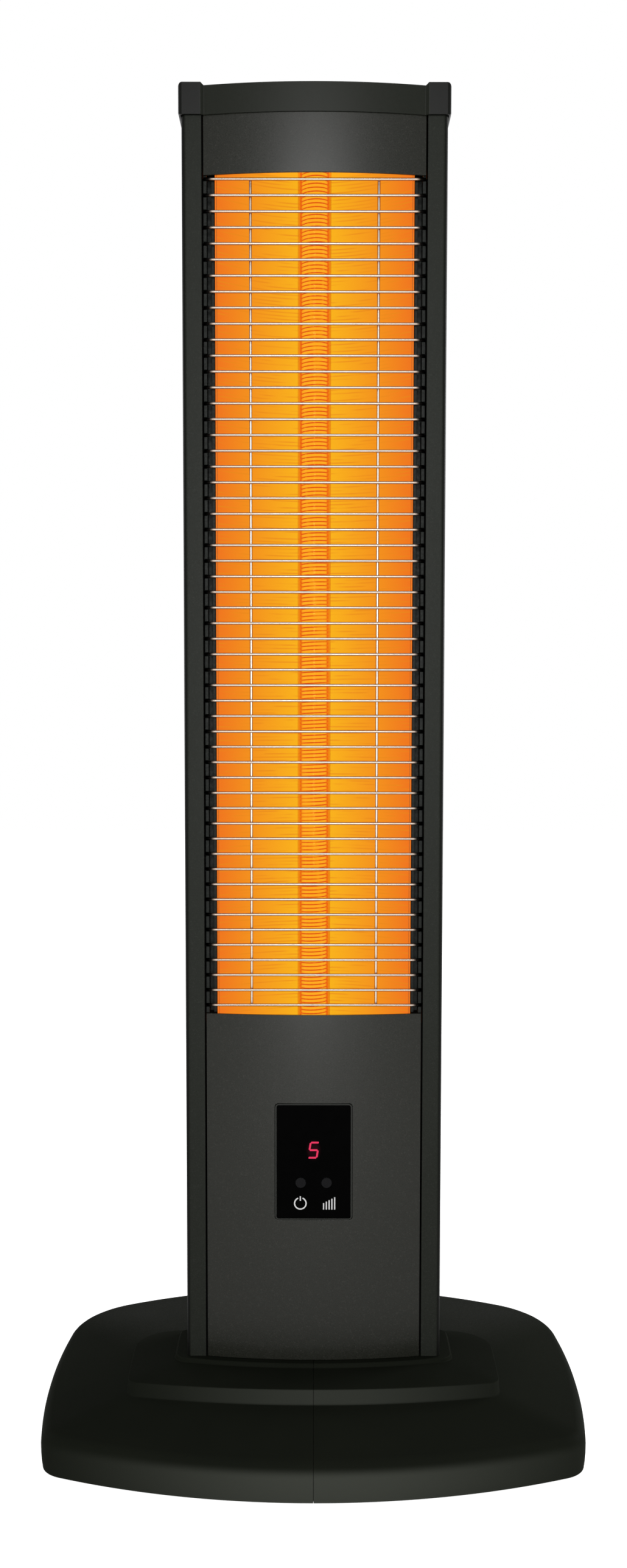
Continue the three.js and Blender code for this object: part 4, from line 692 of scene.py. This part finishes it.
# %% Uprights
UPRIGHT_X = 38.7
UPRIGHT_EDGE = 0.2
WELD_DEPTH = 0.2
upright_y = wire_y + (2 * WIRE_RADIUS - WELD_DEPTH) * MM
uprights = []
for direction in (-1, 1):
    bpy.ops.mesh.primitive_cylinder_add(
        vertices=WIRE_SIDES, radius=WIRE_RADIUS * MM, depth=top_z - bottom_z,
        location=(direction * UPRIGHT_X * MM, upright_y, (top_z + bottom_z) / 2))
    upright = bpy.context.object
    settle(upright)
    apply_modifier(upright, "BEVEL", width=UPRIGHT_EDGE * MM, segments=2, limit_method="ANGLE")
    uprights.append(upright)
join(guard, *uprights)
outward(guard)
smooth(guard, 50)
dress(guard, chrome, "guard_grille")

# %% [markdown]
# ## The element
#
# The heating wire is wound close, some two hundred turns in one helix. A small circle is swept by
# the Screw modifier round the tube's axis, which gives one unbroken wire. The turns in the CAD
# are fewer and wider apart.

# %% Coil
COIL_STEPS = 20
COIL_END = 3.1
WIRE_FACETS = 8
coil_low = TUBE_LOW.z + COIL_END * MM
coil_high = TUBE_HIGH.z - COIL_END * MM
turn_pitch = (coil_high - coil_low) / COIL_TURNS
bpy.ops.mesh.primitive_circle_add(vertices=WIRE_FACETS, radius=COIL_WIRE * MM,
                                  rotation=(math.pi / 2, 0, 0))
coil = bpy.context.object
coil.name = "heating_wire"
settle(coil)
coil.data.transform(Matrix.Translation(((COIL_OUTER - COIL_WIRE) * MM, 0, 0)))
apply_modifier(coil, "SCREW", angle=2 * math.pi, screw_offset=turn_pitch, iterations=COIL_TURNS,
               steps=COIL_STEPS, render_steps=COIL_STEPS, axis="Z", use_smooth_shade=True)
coil.data.transform(Matrix.Translation((AXIS.x, AXIS.y, coil_low)))
edit_whole(coil)
bpy.ops.mesh.fill_holes(sides=WIRE_FACETS)
bpy.ops.mesh.select_all(action="SELECT")
bpy.ops.mesh.normals_make_consistent(inside=False)
leave_edit()
dress(coil, glowing_wire, "heating_coil")
print("coil pitch", round(turn_pitch / MM, 3), "mm")

# %% [markdown]
# The tube is drawn fresh with many sides, because its straight highlights betray every facet. A
# cylinder without ends is given its wall by Solidify.

# %% Quartz tube
TUBE_WALL = 1.3
TUBE_SIDES = 64
tube_radius = (TUBE_HIGH.x - TUBE_LOW.x) / 2
bpy.ops.mesh.primitive_cylinder_add(vertices=TUBE_SIDES, radius=tube_radius,
                                    depth=TUBE_HIGH.z - TUBE_LOW.z, end_fill_type="NOTHING",
                                    location=AXIS)
tube = bpy.context.object
tube.name = "quartz_sleeve"
settle(tube)
outward(tube)
apply_modifier(tube, "SOLIDIFY", thickness=TUBE_WALL * MM, offset=-1)
smooth(tube)
dress(tube, quartz, "quartz_tube")

# %% [markdown]
# ## The base
#
# Seen from above, the base is bounded by large arcs: a bowed front, bowed sides and a rounder
# back, joined by corner radii. A platform steps up from it and carries a low collar round the
# column. All three outlines are made of the same five arcs, so a grid can be laid over
# them: each column of the grid follows one station round the outline, each row one level.

# %% Outlines of arcs
ARC_STEPS = (18, 8, 22, 12, 16)


def inner_touch(first, second, radius):
    """Centre of the circle that touches two larger circles from inside, on the right."""
    (c1, r1), (c2, r2) = [(centre, big - radius) for centre, big in (first, second)]
    apart = c2 - c1
    along = (r1 * r1 - r2 * r2 + apart.length_squared) / (2 * apart.length)
    across = math.sqrt(r1 * r1 - along * along)
    axis = apart.normalized()
    normal = Vector((-axis.y, axis.x))
    return max((c1 + axis * along + normal * s for s in (across, -across)), key=lambda p: p.x)


def arc(centre, radius, start, end, steps):
    """Points from one point to the next round a centre, the last one left out."""
    a0 = math.atan2(start.y - centre.y, start.x - centre.x)
    a1 = math.atan2(end.y - centre.y, end.x - centre.x)
    angles = [a0 + (a1 - a0) * i / steps for i in range(steps)]
    return [centre + radius * Vector((math.cos(angle), math.sin(angle))) for angle in angles]


def outline(shape, inset):
    """The right half of a bowed outline, from the middle of its front to that of its back."""
    front_radius, side_radius = shape["front_radius"], shape["side_radius"]
    rear_radius = shape["rear_radius"]
    front = (Vector((0, shape["front"] + front_radius)), front_radius - inset)
    side = (Vector((shape["width"] / 2 - side_radius, shape["side_middle"])), side_radius - inset)
    rear = (Vector((0, shape["rear"] - rear_radius)), rear_radius - inset)
    points = []
    start = front[0] + Vector((0, -front[1]))
    pairs = ((front, side, shape["front_corner"]), (side, rear, shape["rear_corner"]))
    for index, (big, next_big, corner) in enumerate(pairs):
        radius = corner - inset
        centre = inner_touch(big, next_big, radius)
        enter = big[0] + (centre - big[0]).normalized() * big[1]
        leave = next_big[0] + (centre - next_big[0]).normalized() * next_big[1]
        points += arc(big[0], big[1], start, enter, ARC_STEPS[2 * index])
        points += arc(centre, radius, enter, leave, ARC_STEPS[2 * index + 1])
        start = leave
    end = rear[0] + Vector((0, rear[1]))
    return points + arc(rear[0], rear[1], start, end, ARC_STEPS[4]) + [end]


# %% Sizes of the outlines
COLUMN_MIDDLE = -23
BASE = {"width": 343.99, "front": -147, "rear": 147, "front_radius": 384, "side_radius": 725,
        "rear_radius": 281, "side_middle": 6, "front_corner": 21, "rear_corner": 65}
PLATFORM = {"width": 231, "front": -89.2, "rear": 9, "front_radius": 600, "side_radius": 1500,
            "rear_radius": 900, "side_middle": COLUMN_MIDDLE, "front_corner": 8,
            "rear_corner": 28}
COLLAR = {"width": 176, "front": -58.8, "rear": 3.2, "front_radius": 364, "side_radius": 1500,
          "rear_radius": 1500, "side_middle": COLUMN_MIDDLE, "front_corner": 9, "rear_corner": 9}
OPENING = {"width": 80, "front": -34, "rear": -12, "front_radius": 1500, "side_radius": 1500,
           "rear_radius": 1500, "side_middle": COLUMN_MIDDLE, "front_corner": 5, "rear_corner": 5}
print("base outline:", len(outline(BASE, 0)), "stations")

# %% [markdown]
# The rim stands almost upright, drawn in a little towards the floor, and rolls over a shoulder.
# From there one broad slope runs up to the platform, and the collar follows. The platform is
# higher at its back, so its levels are given as a height at the front and one at the back.

# %% Levels of the skin
RIM_LOW, RIM_TOP = 0.7, 15.5
SHOULDER = 10
SHOULDER_STEPS = 7
SHOULDER_TURN = math.radians(80)


def level(shape, inset, front, rear=None):
    """An outline at a height that rises evenly from the platform's front to its back."""
    depth = PLATFORM["rear"] - PLATFORM["front"]
    row = []
    for point in outline(shape, inset):
        share = min(max((point.y - PLATFORM["front"]) / depth, 0), 1)
        row.append((point.x, point.y, front if rear is None else front + (rear - front) * share))
    return row


rows = [level(BASE, 1.0, RIM_LOW), level(BASE, 0.4, 5), level(BASE, 0.1, 9.5)]
for i in range(SHOULDER_STEPS):
    turn = i / SHOULDER_STEPS * SHOULDER_TURN
    rows.append(level(BASE, SHOULDER * (1 - math.cos(turn)), RIM_TOP + SHOULDER * math.sin(turn)))
rows += [
    level(PLATFORM, -1.6, 33.8, 43.4), level(PLATFORM, -0.6, 34.3, 43.7),
    level(PLATFORM, -0.2, 35.2, 43.9), level(PLATFORM, 0, 43.3, 44.4),
    level(PLATFORM, 0.25, 43.8, 44.7), level(PLATFORM, 0.9, 44.0, 44.8),
    level(COLLAR, -0.5, 45.0), level(COLLAR, 0, 45.4), level(COLLAR, 0.3, 47.0),
    level(COLLAR, 0.9, 47.5), level(OPENING, 0, 47.5),
]
print("skin:", len(rows), "levels")

# %% [markdown]
# The grid's points are moved onto the levels, and the half shell gets its wall from Solidify.
# Between the halves stays the thin seam that shows in the photograph: a groove on the outside,
# while the two walls meet on the inside.

# %% Shell
BASE_WALL = 2.4
SEAM = 0.15
stations = len(rows[0])


def skin(levels, place):
    """A grid whose rows lie on the levels, each point set by a function of its level's point."""
    bpy.ops.mesh.primitive_grid_add(x_subdivisions=len(levels) - 1, y_subdivisions=stations - 1,
                                    size=1)
    grid = bpy.context.object
    order = sorted(grid.data.vertices, key=lambda v: (round(v.co.x, 5), round(v.co.y, 5)))
    for i, vertex in enumerate(order):
        x, y, z = place(*levels[i // stations][i % stations])
        vertex.co = Vector((max(x, SEAM), y, z)) * MM
    return grid


shell = skin(rows, lambda x, y, z: (x, y, z))
shell.name = "base_shell_right"
outward(shell)
if max(shell.data.polygons, key=lambda f: f.center.z).normal.z < 0:
    shell.data.flip_normals()
outer_count = len(shell.data.vertices)
apply_modifier(shell, "SOLIDIFY", thickness=BASE_WALL * MM, offset=-1, use_even_offset=True)
for vertex in shell.data.vertices:
    inner = vertex.index >= outer_count
    if vertex.co.x < 2 * SEAM * MM:
        vertex.co.x = 0 if inner else SEAM * MM
    vertex.co.z = max(vertex.co.z, RIM_LOW * MM)
smooth(shell, 33)
print("base shell:", len(shell.data.polygons), "faces")

# %% [markdown]
# Ribs and hollow pillars under the shell stiffen it and hold the rubber feet. They are cubes and
# cylinders that a Boolean trims to the space under the shell.

# %% Ribs and pillars
RIB = 2
RIB_LOW, RIB_HIGH = 4, 43
RIB_REACH_X, RIB_REACH_Y = 0.17, 0.146
PILLAR_RADIUS = 13.3
FOOT_RECESS, RECESS_DEPTH, RECESS_MIDDLE = 11.3, 6, 1.5
PILLAR_SIDES = 32
feet = {name: sum(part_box(name), Vector()) / 2
        for name in frame["nodes"] if name.startswith("rubber_foot")}
right_feet = [place for name, place in sorted(feet.items()) if place.x > 0]
foot_x, front_y, rear_y = right_feet[0].x, right_feet[0].y, right_feet[1].y


def block(x0, x1, y0, y1, z0, z1):
    bpy.ops.mesh.primitive_cube_add(size=1, scale=(x1 - x0, y1 - y0, z1 - z0),
                                    location=((x0 + x1) / 2, (y0 + y1) / 2, (z0 + z1) / 2))
    made = bpy.context.object
    settle(made)
    return made


def pillar(place, radius, middle, depth):
    bpy.ops.mesh.primitive_cylinder_add(vertices=PILLAR_SIDES, radius=radius * MM, depth=depth,
                                        location=(place.x, place.y, middle))
    return bpy.context.object


def boolean(piece, tool, operation):
    apply_modifier(piece, "BOOLEAN", operation=operation, object=tool, solver="EXACT")
    bpy.data.objects.remove(tool)


half_rib = RIB / 2 * MM
seam, low, high = SEAM * MM, RIB_LOW * MM, RIB_HIGH * MM
ribs, *more_ribs = [
    block(seam, RIB_REACH_X, front_y - half_rib, front_y + half_rib, low, high),
    block(seam, RIB_REACH_X, rear_y - half_rib, rear_y + half_rib, low, high),
    block(foot_x - half_rib, foot_x + half_rib, -RIB_REACH_Y, RIB_REACH_Y, low, high),
    block(seam, seam + 2 * half_rib, -RIB_REACH_Y, front_y, low, high),
    block(seam, seam + 2 * half_rib, rear_y, RIB_REACH_Y, low, high),
]
for rib in more_ribs:
    boolean(ribs, rib, "UNION")
floor_z = RIM_LOW * MM
for place in right_feet:
    boolean(ribs, pillar(place, PILLAR_RADIUS, (high + floor_z) / 2, high - floor_z), "UNION")
for place in right_feet:
    recess = pillar(place, FOOT_RECESS, RECESS_MIDDLE * MM, RECESS_DEPTH * MM)
    boolean(ribs, recess, "DIFFERENCE")
print("ribs:", len(ribs.data.polygons), "faces")

# %% [markdown]
# What trims them is the room under the shell as one closed solid. It is the same grid, sunk by
# half the wall and drawn together to a point under the opening, with a face over its open side.

# %% Trimming the ribs
ROOM_PEAK = (0.5, COLUMN_MIDDLE, 46.3)
SEWN_WITHIN = 0.01 * MM
half_wall = BASE_WALL / 2


def sunk(x, y, z):
    inward = Vector((x, y - COLUMN_MIDDLE, 0)).normalized() * half_wall
    return x - inward.x, y - inward.y, z


room_rows = [[(x, y, z - half_wall) for x, y, z in row] for row in rows]
room = skin(room_rows + [[ROOM_PEAK] * stations], sunk)
edit_whole(room)
bpy.ops.mesh.remove_doubles(threshold=SEWN_WITHIN)
bpy.ops.mesh.select_mode(type="VERT")
bpy.ops.mesh.select_all(action="DESELECT")
bpy.ops.mesh.select_non_manifold()
bpy.ops.mesh.edge_face_add()
bpy.ops.mesh.select_all(action="SELECT")
bpy.ops.mesh.normals_make_consistent(inside=False)
leave_edit()
boolean(ribs, room, "INTERSECT")
outward(ribs)
ribs.name = "base_ribs_right"
round_edges(ribs, 0.25, 1, 50)

# %% [markdown]
# The left half is the right one mirrored. A mirror turns a mesh inside out, so its faces are
# flipped back.

# %% Both halves
MIRROR = Matrix.Scale(-1, 4, (1, 0, 0))


def mirrored(piece, name):
    twin = piece.copy()
    twin.data = piece.data.copy()
    twin.name = name
    bpy.context.scene.collection.objects.link(twin)
    twin.data.transform(MIRROR)
    twin.data.flip_normals()
    return twin


left_shell = mirrored(shell, "base_shell_left")
left_ribs = mirrored(ribs, "base_ribs_left")
dress(shell, base_plastic, "base_right")
dress(left_shell, base_plastic, "base_left")
dress(ribs, base_plastic, "base_right", stands_for_it=False)
dress(left_ribs, base_plastic, "base_left", stands_for_it=False)

# %% [markdown]
# ## Rubber feet
#
# Each foot is a turned pad. A cylinder is inset and pushed in twice underneath, which leaves the
# rings that keep it from sliding.

# %% Feet
FOOT_SIDES = 40
FOOT_RINGS = ((2.2, 0), (0.3, -0.5), (2.0, 0), (0.3, 0.5))  # how far in, how far out
for name, place in feet.items():
    low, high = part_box(name)
    bpy.ops.mesh.primitive_cylinder_add(vertices=FOOT_SIDES, radius=(high.x - low.x) / 2,
                                        depth=high.z - low.z, location=place)
    foot = bpy.context.object
    foot.name = name + "_pad"
    settle(foot)
    pick_faces(foot, lambda centre, normal: normal.z < -FACES_IT)
    for inset, push in FOOT_RINGS:
        bpy.ops.mesh.inset(thickness=inset * MM, depth=push * MM)
    leave_edit()
    round_edges(foot, 0.35)
    dress(foot, foot_rubber, name)

# %% [markdown]
# ## Screws
#
# Each screw is a turned blank from the CAD. A cross recess is cut into its head by a Boolean with
# two crossed bars, at the end of the screw that its direction points to.

# %% Cross recess
ARM_WIDTH = 0.42  # of the recess's radius


def cross_cutter(at, axis, radius, depth):
    bars = []
    for turn in (0, math.pi / 2):
        bpy.ops.mesh.primitive_cube_add(size=1, scale=(2 * radius, radius * ARM_WIDTH, 2 * depth))
        bar = bpy.context.object
        settle(bar)
        bar.data.transform(Matrix.Rotation(turn, 4, "Z"))
        bars.append(bar)
    boolean(bars[0], bars[1], "UNION")
    upright = axis.to_track_quat("Z", "Y").to_matrix().to_4x4()
    bars[0].data.transform(Matrix.Translation(at) @ upright)
    return bars[0]


def screw(node, direction, radius, depth):
    piece = refine(node, black_zinc, 0.15)
    low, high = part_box(node)
    middle = (low + high) / 2
    head = [high[i] if direction[i] > 0 else low[i] if direction[i] < 0 else middle[i]
            for i in range(3)]
    cutter = cross_cutter(Vector(head), Vector(direction), radius * MM, depth * MM)
    boolean(piece, cutter, "DIFFERENCE")
    smooth(piece, 35)


for node in sorted(name for name in frame["nodes"] if "_screw_" in name):
    if node.startswith("base_screw"):
        screw(node, (0, 0, -1), 2.2, 1.4)
    elif node.startswith("bracket_screw"):
        screw(node, (-1 if node.endswith("right") else 1, 0, 0), 1.8, 1.2)
    else:
        screw(node, (0, 1, 0), 1.7, 1.1)

# %% [markdown]
# ## The display
#
# A smoked pane sits in a thin bezel. Behind two holes are the keys, seen as dim grey discs. The
# digit glows through the pane, and under the keys two symbols are printed in pale grey: a
# stand-by ring and rising bars.

# %% Pane, bezel and keys
refine("display_window", smoked, 0.2)
refine("display_bezel", bezel_plastic, 0.15)
for name in ("power", "level"):
    refine(name + "_button", button_plastic, 0.25, 3)
    refine(name + "_switch", component_plastic, 0.15)
    refine(name + "_switch_stem", white_plastic, 0.15)

# %% [markdown]
# The digit is a slanted seven-segment figure. Each segment is a six-sided prism drawn long: a
# hexagonal cylinder whose two halves are moved apart, then laid in place.

# %% Digit
PANE_LOW, PANE_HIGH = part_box("display_window")
INK = 0.06 * MM
DIGIT_WIDTH, DIGIT_HEIGHT = 5.2, 9.6
SEGMENT = 1.15
SEGMENT_GAP = 0.35
SLANT = math.radians(9)


def segment(x, z, length, upright):
    radius = SEGMENT / 2 * MM / math.cos(math.pi / 6)
    bpy.ops.mesh.primitive_cylinder_add(vertices=6, radius=radius, depth=INK)
    bar = bpy.context.object
    for vertex in bar.data.vertices:
        if abs(vertex.co.y) > SEGMENT * 0.1 * MM:
            vertex.co.y += math.copysign((length - SEGMENT) / 2 * MM, vertex.co.y)
    if not upright:
        bar.data.transform(Matrix.Rotation(math.pi / 2, 4, "Z"))
    bar.data.transform(Matrix.Translation(Vector((x, z, 0)) * MM))
    bar.data.transform(Matrix.Rotation(math.pi / 2, 4, "X"))
    return bar


across, rise = DIGIT_WIDTH / 2, DIGIT_HEIGHT / 4
LIT = {"top": (0, 2 * rise, False), "upper_left": (-across, rise, True), "middle": (0, 0, False),
       "lower_right": (across, -rise, True), "bottom": (0, -2 * rise, False)}
digit = join(*[segment(x, z, (DIGIT_HEIGHT / 2 if upright else DIGIT_WIDTH) - SEGMENT_GAP, upright)
               for x, z, upright in LIT.values()])
digit.name = "digit_segments_lit"
for vertex in digit.data.vertices:
    vertex.co.x += vertex.co.z * math.tan(SLANT)
pane_middle = (PANE_LOW.x + PANE_HIGH.x) / 2
digit.data.transform(Matrix.Translation((pane_middle, PANE_LOW.y - INK / 2, DIGIT_PLACE.z)))
outward(digit)
dress(digit, lit_segment, "digit_module", stands_for_it=False)

# %% [markdown]
# The symbols are as thin as ink. The stand-by ring is a disc that is inset, emptied and opened at
# its top, where a stroke stands in the gap. The level bars are blocks that grow to the right.

# %% Stand-by symbol
SYMBOL_Z = 148.3
STANDBY_X, BARS_X = -8.3, 9.7
RING_OUTER, RING_LINE, RING_SIDES = 4.0, 0.8, 64
GAP_HALF = 1.45
STROKE_MIDDLE, STROKE_LENGTH = 3.1, 2.9


def slip(x, y, width, height):
    """A thin bar of ink that lies on the floor."""
    bpy.ops.mesh.primitive_cube_add(size=1, location=(x * MM, y * MM, 0),
                                    scale=(width * MM, height * MM, INK))
    bar = bpy.context.object
    settle(bar)
    return bar


def print_on_pane(piece, name, x):
    """Turns a flat piece from the floor onto the pane, moves it to its place and inks it."""
    piece.name = name
    piece.data.transform(Matrix.Rotation(math.pi / 2, 4, "X"))
    piece.data.transform(Matrix.Translation((x * MM, PANE_LOW.y - INK / 2, SYMBOL_Z * MM)))
    outward(piece)
    dress(piece, pale_ink, "display_window", stands_for_it=False)


bpy.ops.mesh.primitive_circle_add(vertices=RING_SIDES, radius=RING_OUTER * MM, fill_type="NGON")
ring = bpy.context.object
pick_faces(ring, lambda centre, normal: True)
bpy.ops.mesh.inset(thickness=RING_LINE * MM)
bpy.ops.mesh.delete(type="FACE")
leave_edit()
pick_faces(ring, lambda centre, normal: centre.y > 0 and abs(centre.x) < GAP_HALF * MM)
bpy.ops.mesh.delete(type="FACE")
leave_edit()
apply_modifier(ring, "SOLIDIFY", thickness=INK, offset=0)
stroke = slip(0, STROKE_MIDDLE, RING_LINE, STROKE_LENGTH)
print_on_pane(join(ring, stroke), "standby_symbol", STANDBY_X)

# %% Level symbol
BAR_COUNT = 5
BAR_PITCH, BAR_WIDTH = 1.73, 0.75
BAR_FOOT, FIRST_BAR, BAR_STEP = -3.9, 4.1, 0.93
bars = []
for i in range(BAR_COUNT):
    height = FIRST_BAR + i * BAR_STEP
    bars.append(slip((i - BAR_COUNT // 2) * BAR_PITCH, height / 2 + BAR_FOOT, BAR_WIDTH, height))
print_on_pane(join(*bars), "level_symbol", BARS_X)

# %% [markdown]
# ## What the housing holds
#
# Boards and components are glimpsed only through the vents. Their edges are broken and their
# materials say what they are: resin, nylon, aluminium, silicone.

# %% Inner parts
INNER = {
    "control_board": (board_green, 0.15), "power_board": (board_green, 0.15),
    "digit_module": (component_plastic, 0.2), "infrared_receiver": (component_plastic, 0.2),
    "heat_sink": (aluminium, 0.2), "triac": (component_plastic, 0.2),
    "power_relay": (component_plastic, 0.3), "terminal_block": (white_plastic, 0.25),
    "tilt_switch": (component_plastic, 0.3), "thermal_cutout": (component_plastic, 0.3),
    "upper_lead": (lead_rubber, 0.05), "lower_lead": (lead_rubber, 0.05),
}
for node, (material, edge) in INNER.items():
    refine(node, material, edge, 2, 40)

# %% [markdown]
# ## The studio
#
# The heater stands on a white sweep. What the camera sees of floor and backdrop is white, while
# the lamps stay at a plain level, so that dark coats keep their depth.

# %% Floor and backdrop
MIRRORED_SHARE = 0.5  # how much of the white a glossy surface mirrors
FLOOR_SIZE, FLOOR_BACK = 8, 1.5
FLOOR_LIFT = 0.84
AIR_LEVEL = 0.38
WHITE = (1, 1, 1, 1)


def seen_white(tree):
    """One for what the camera sees, straight or through glass, less in a mirrored view, or zero."""
    rays = add(tree, "LightPath").node.outputs
    mirrored_view = add(tree, "Math", (rays["Is Glossy Ray"], MIRRORED_SHARE), operation="MULTIPLY")
    seen = add(tree, "Math", (rays["Is Camera Ray"], rays["Is Transmission Ray"]),
               operation="MAXIMUM")
    return add(tree, "Math", (seen, mirrored_view), operation="MAXIMUM")


bpy.ops.mesh.primitive_plane_add(size=FLOOR_SIZE, location=(0, FLOOR_BACK, 0))
floor = bpy.context.object
floor.name = "studio_floor"
studio_white = bpy.data.materials.new("studio_white_sweep")
studio_white.use_nodes = True
tree = studio_white.node_tree
tree.nodes.remove(tree.nodes["Principled BSDF"])
paint = add(tree, "BsdfDiffuse", (linear("#e8e8e6"),))
lifted = add(tree, "AddShader", (paint, add(tree, "Emission", (WHITE, FLOOR_LIFT))))
mixed = add(tree, "MixShader", (seen_white(tree), paint, lifted))
plug(tree, tree.nodes["Material Output"], {"Surface": mixed})
floor.data.materials.append(studio_white)
print("floor", FLOOR_SIZE, "m wide")

# %% [markdown]
# The air is white to the camera too, and lights the heater softly from all sides at a lower level.

# %% World
world = bpy.data.worlds.new("studio_air")
bpy.context.scene.world = world
world.use_nodes = True
tree = world.node_tree
backdrop = tree.nodes["Background"]
backdrop.inputs["Color"].default_value = WHITE
plug(tree, backdrop, {
    "Strength": add(tree, "MapRange", (seen_white(tree), 0.0, 1.0, AIR_LEVEL, 1.0)),
})
print("air at", AIR_LEVEL)

# %% [markdown]
# Three large soft lamps light the heater: a tall one in front, for the sheen of the panels, and
# one on each side a little behind, for its edges. The right one is the stronger, as in the
# photograph.

# %% Lamps
def lamp(name, place, target, size, power):
    bpy.ops.object.light_add(type="AREA", location=place)
    made = bpy.context.object
    made.name = name
    made.data.shape = "RECTANGLE"
    made.data.size, made.data.size_y = size
    made.data.energy = power
    made.rotation_euler = (Vector(target) - Vector(place)).to_track_quat("-Z", "Y").to_euler()
    print(name, power, "W")


lamp("front_softbox", (0, -2.2, 0.76), (0, 0, 0.41), (0.5, 1.24), 40)
lamp("left_softbox", (-2.1, 1.0, 0.85), (0, 0, 0.45), (0.8, 1.0), 17)
lamp("right_softbox", (2.1, 1.0, 0.85), (0, 0, 0.45), (0.8, 1.0), 50)

bpy.context.scene.view_settings.view_transform = "Standard"
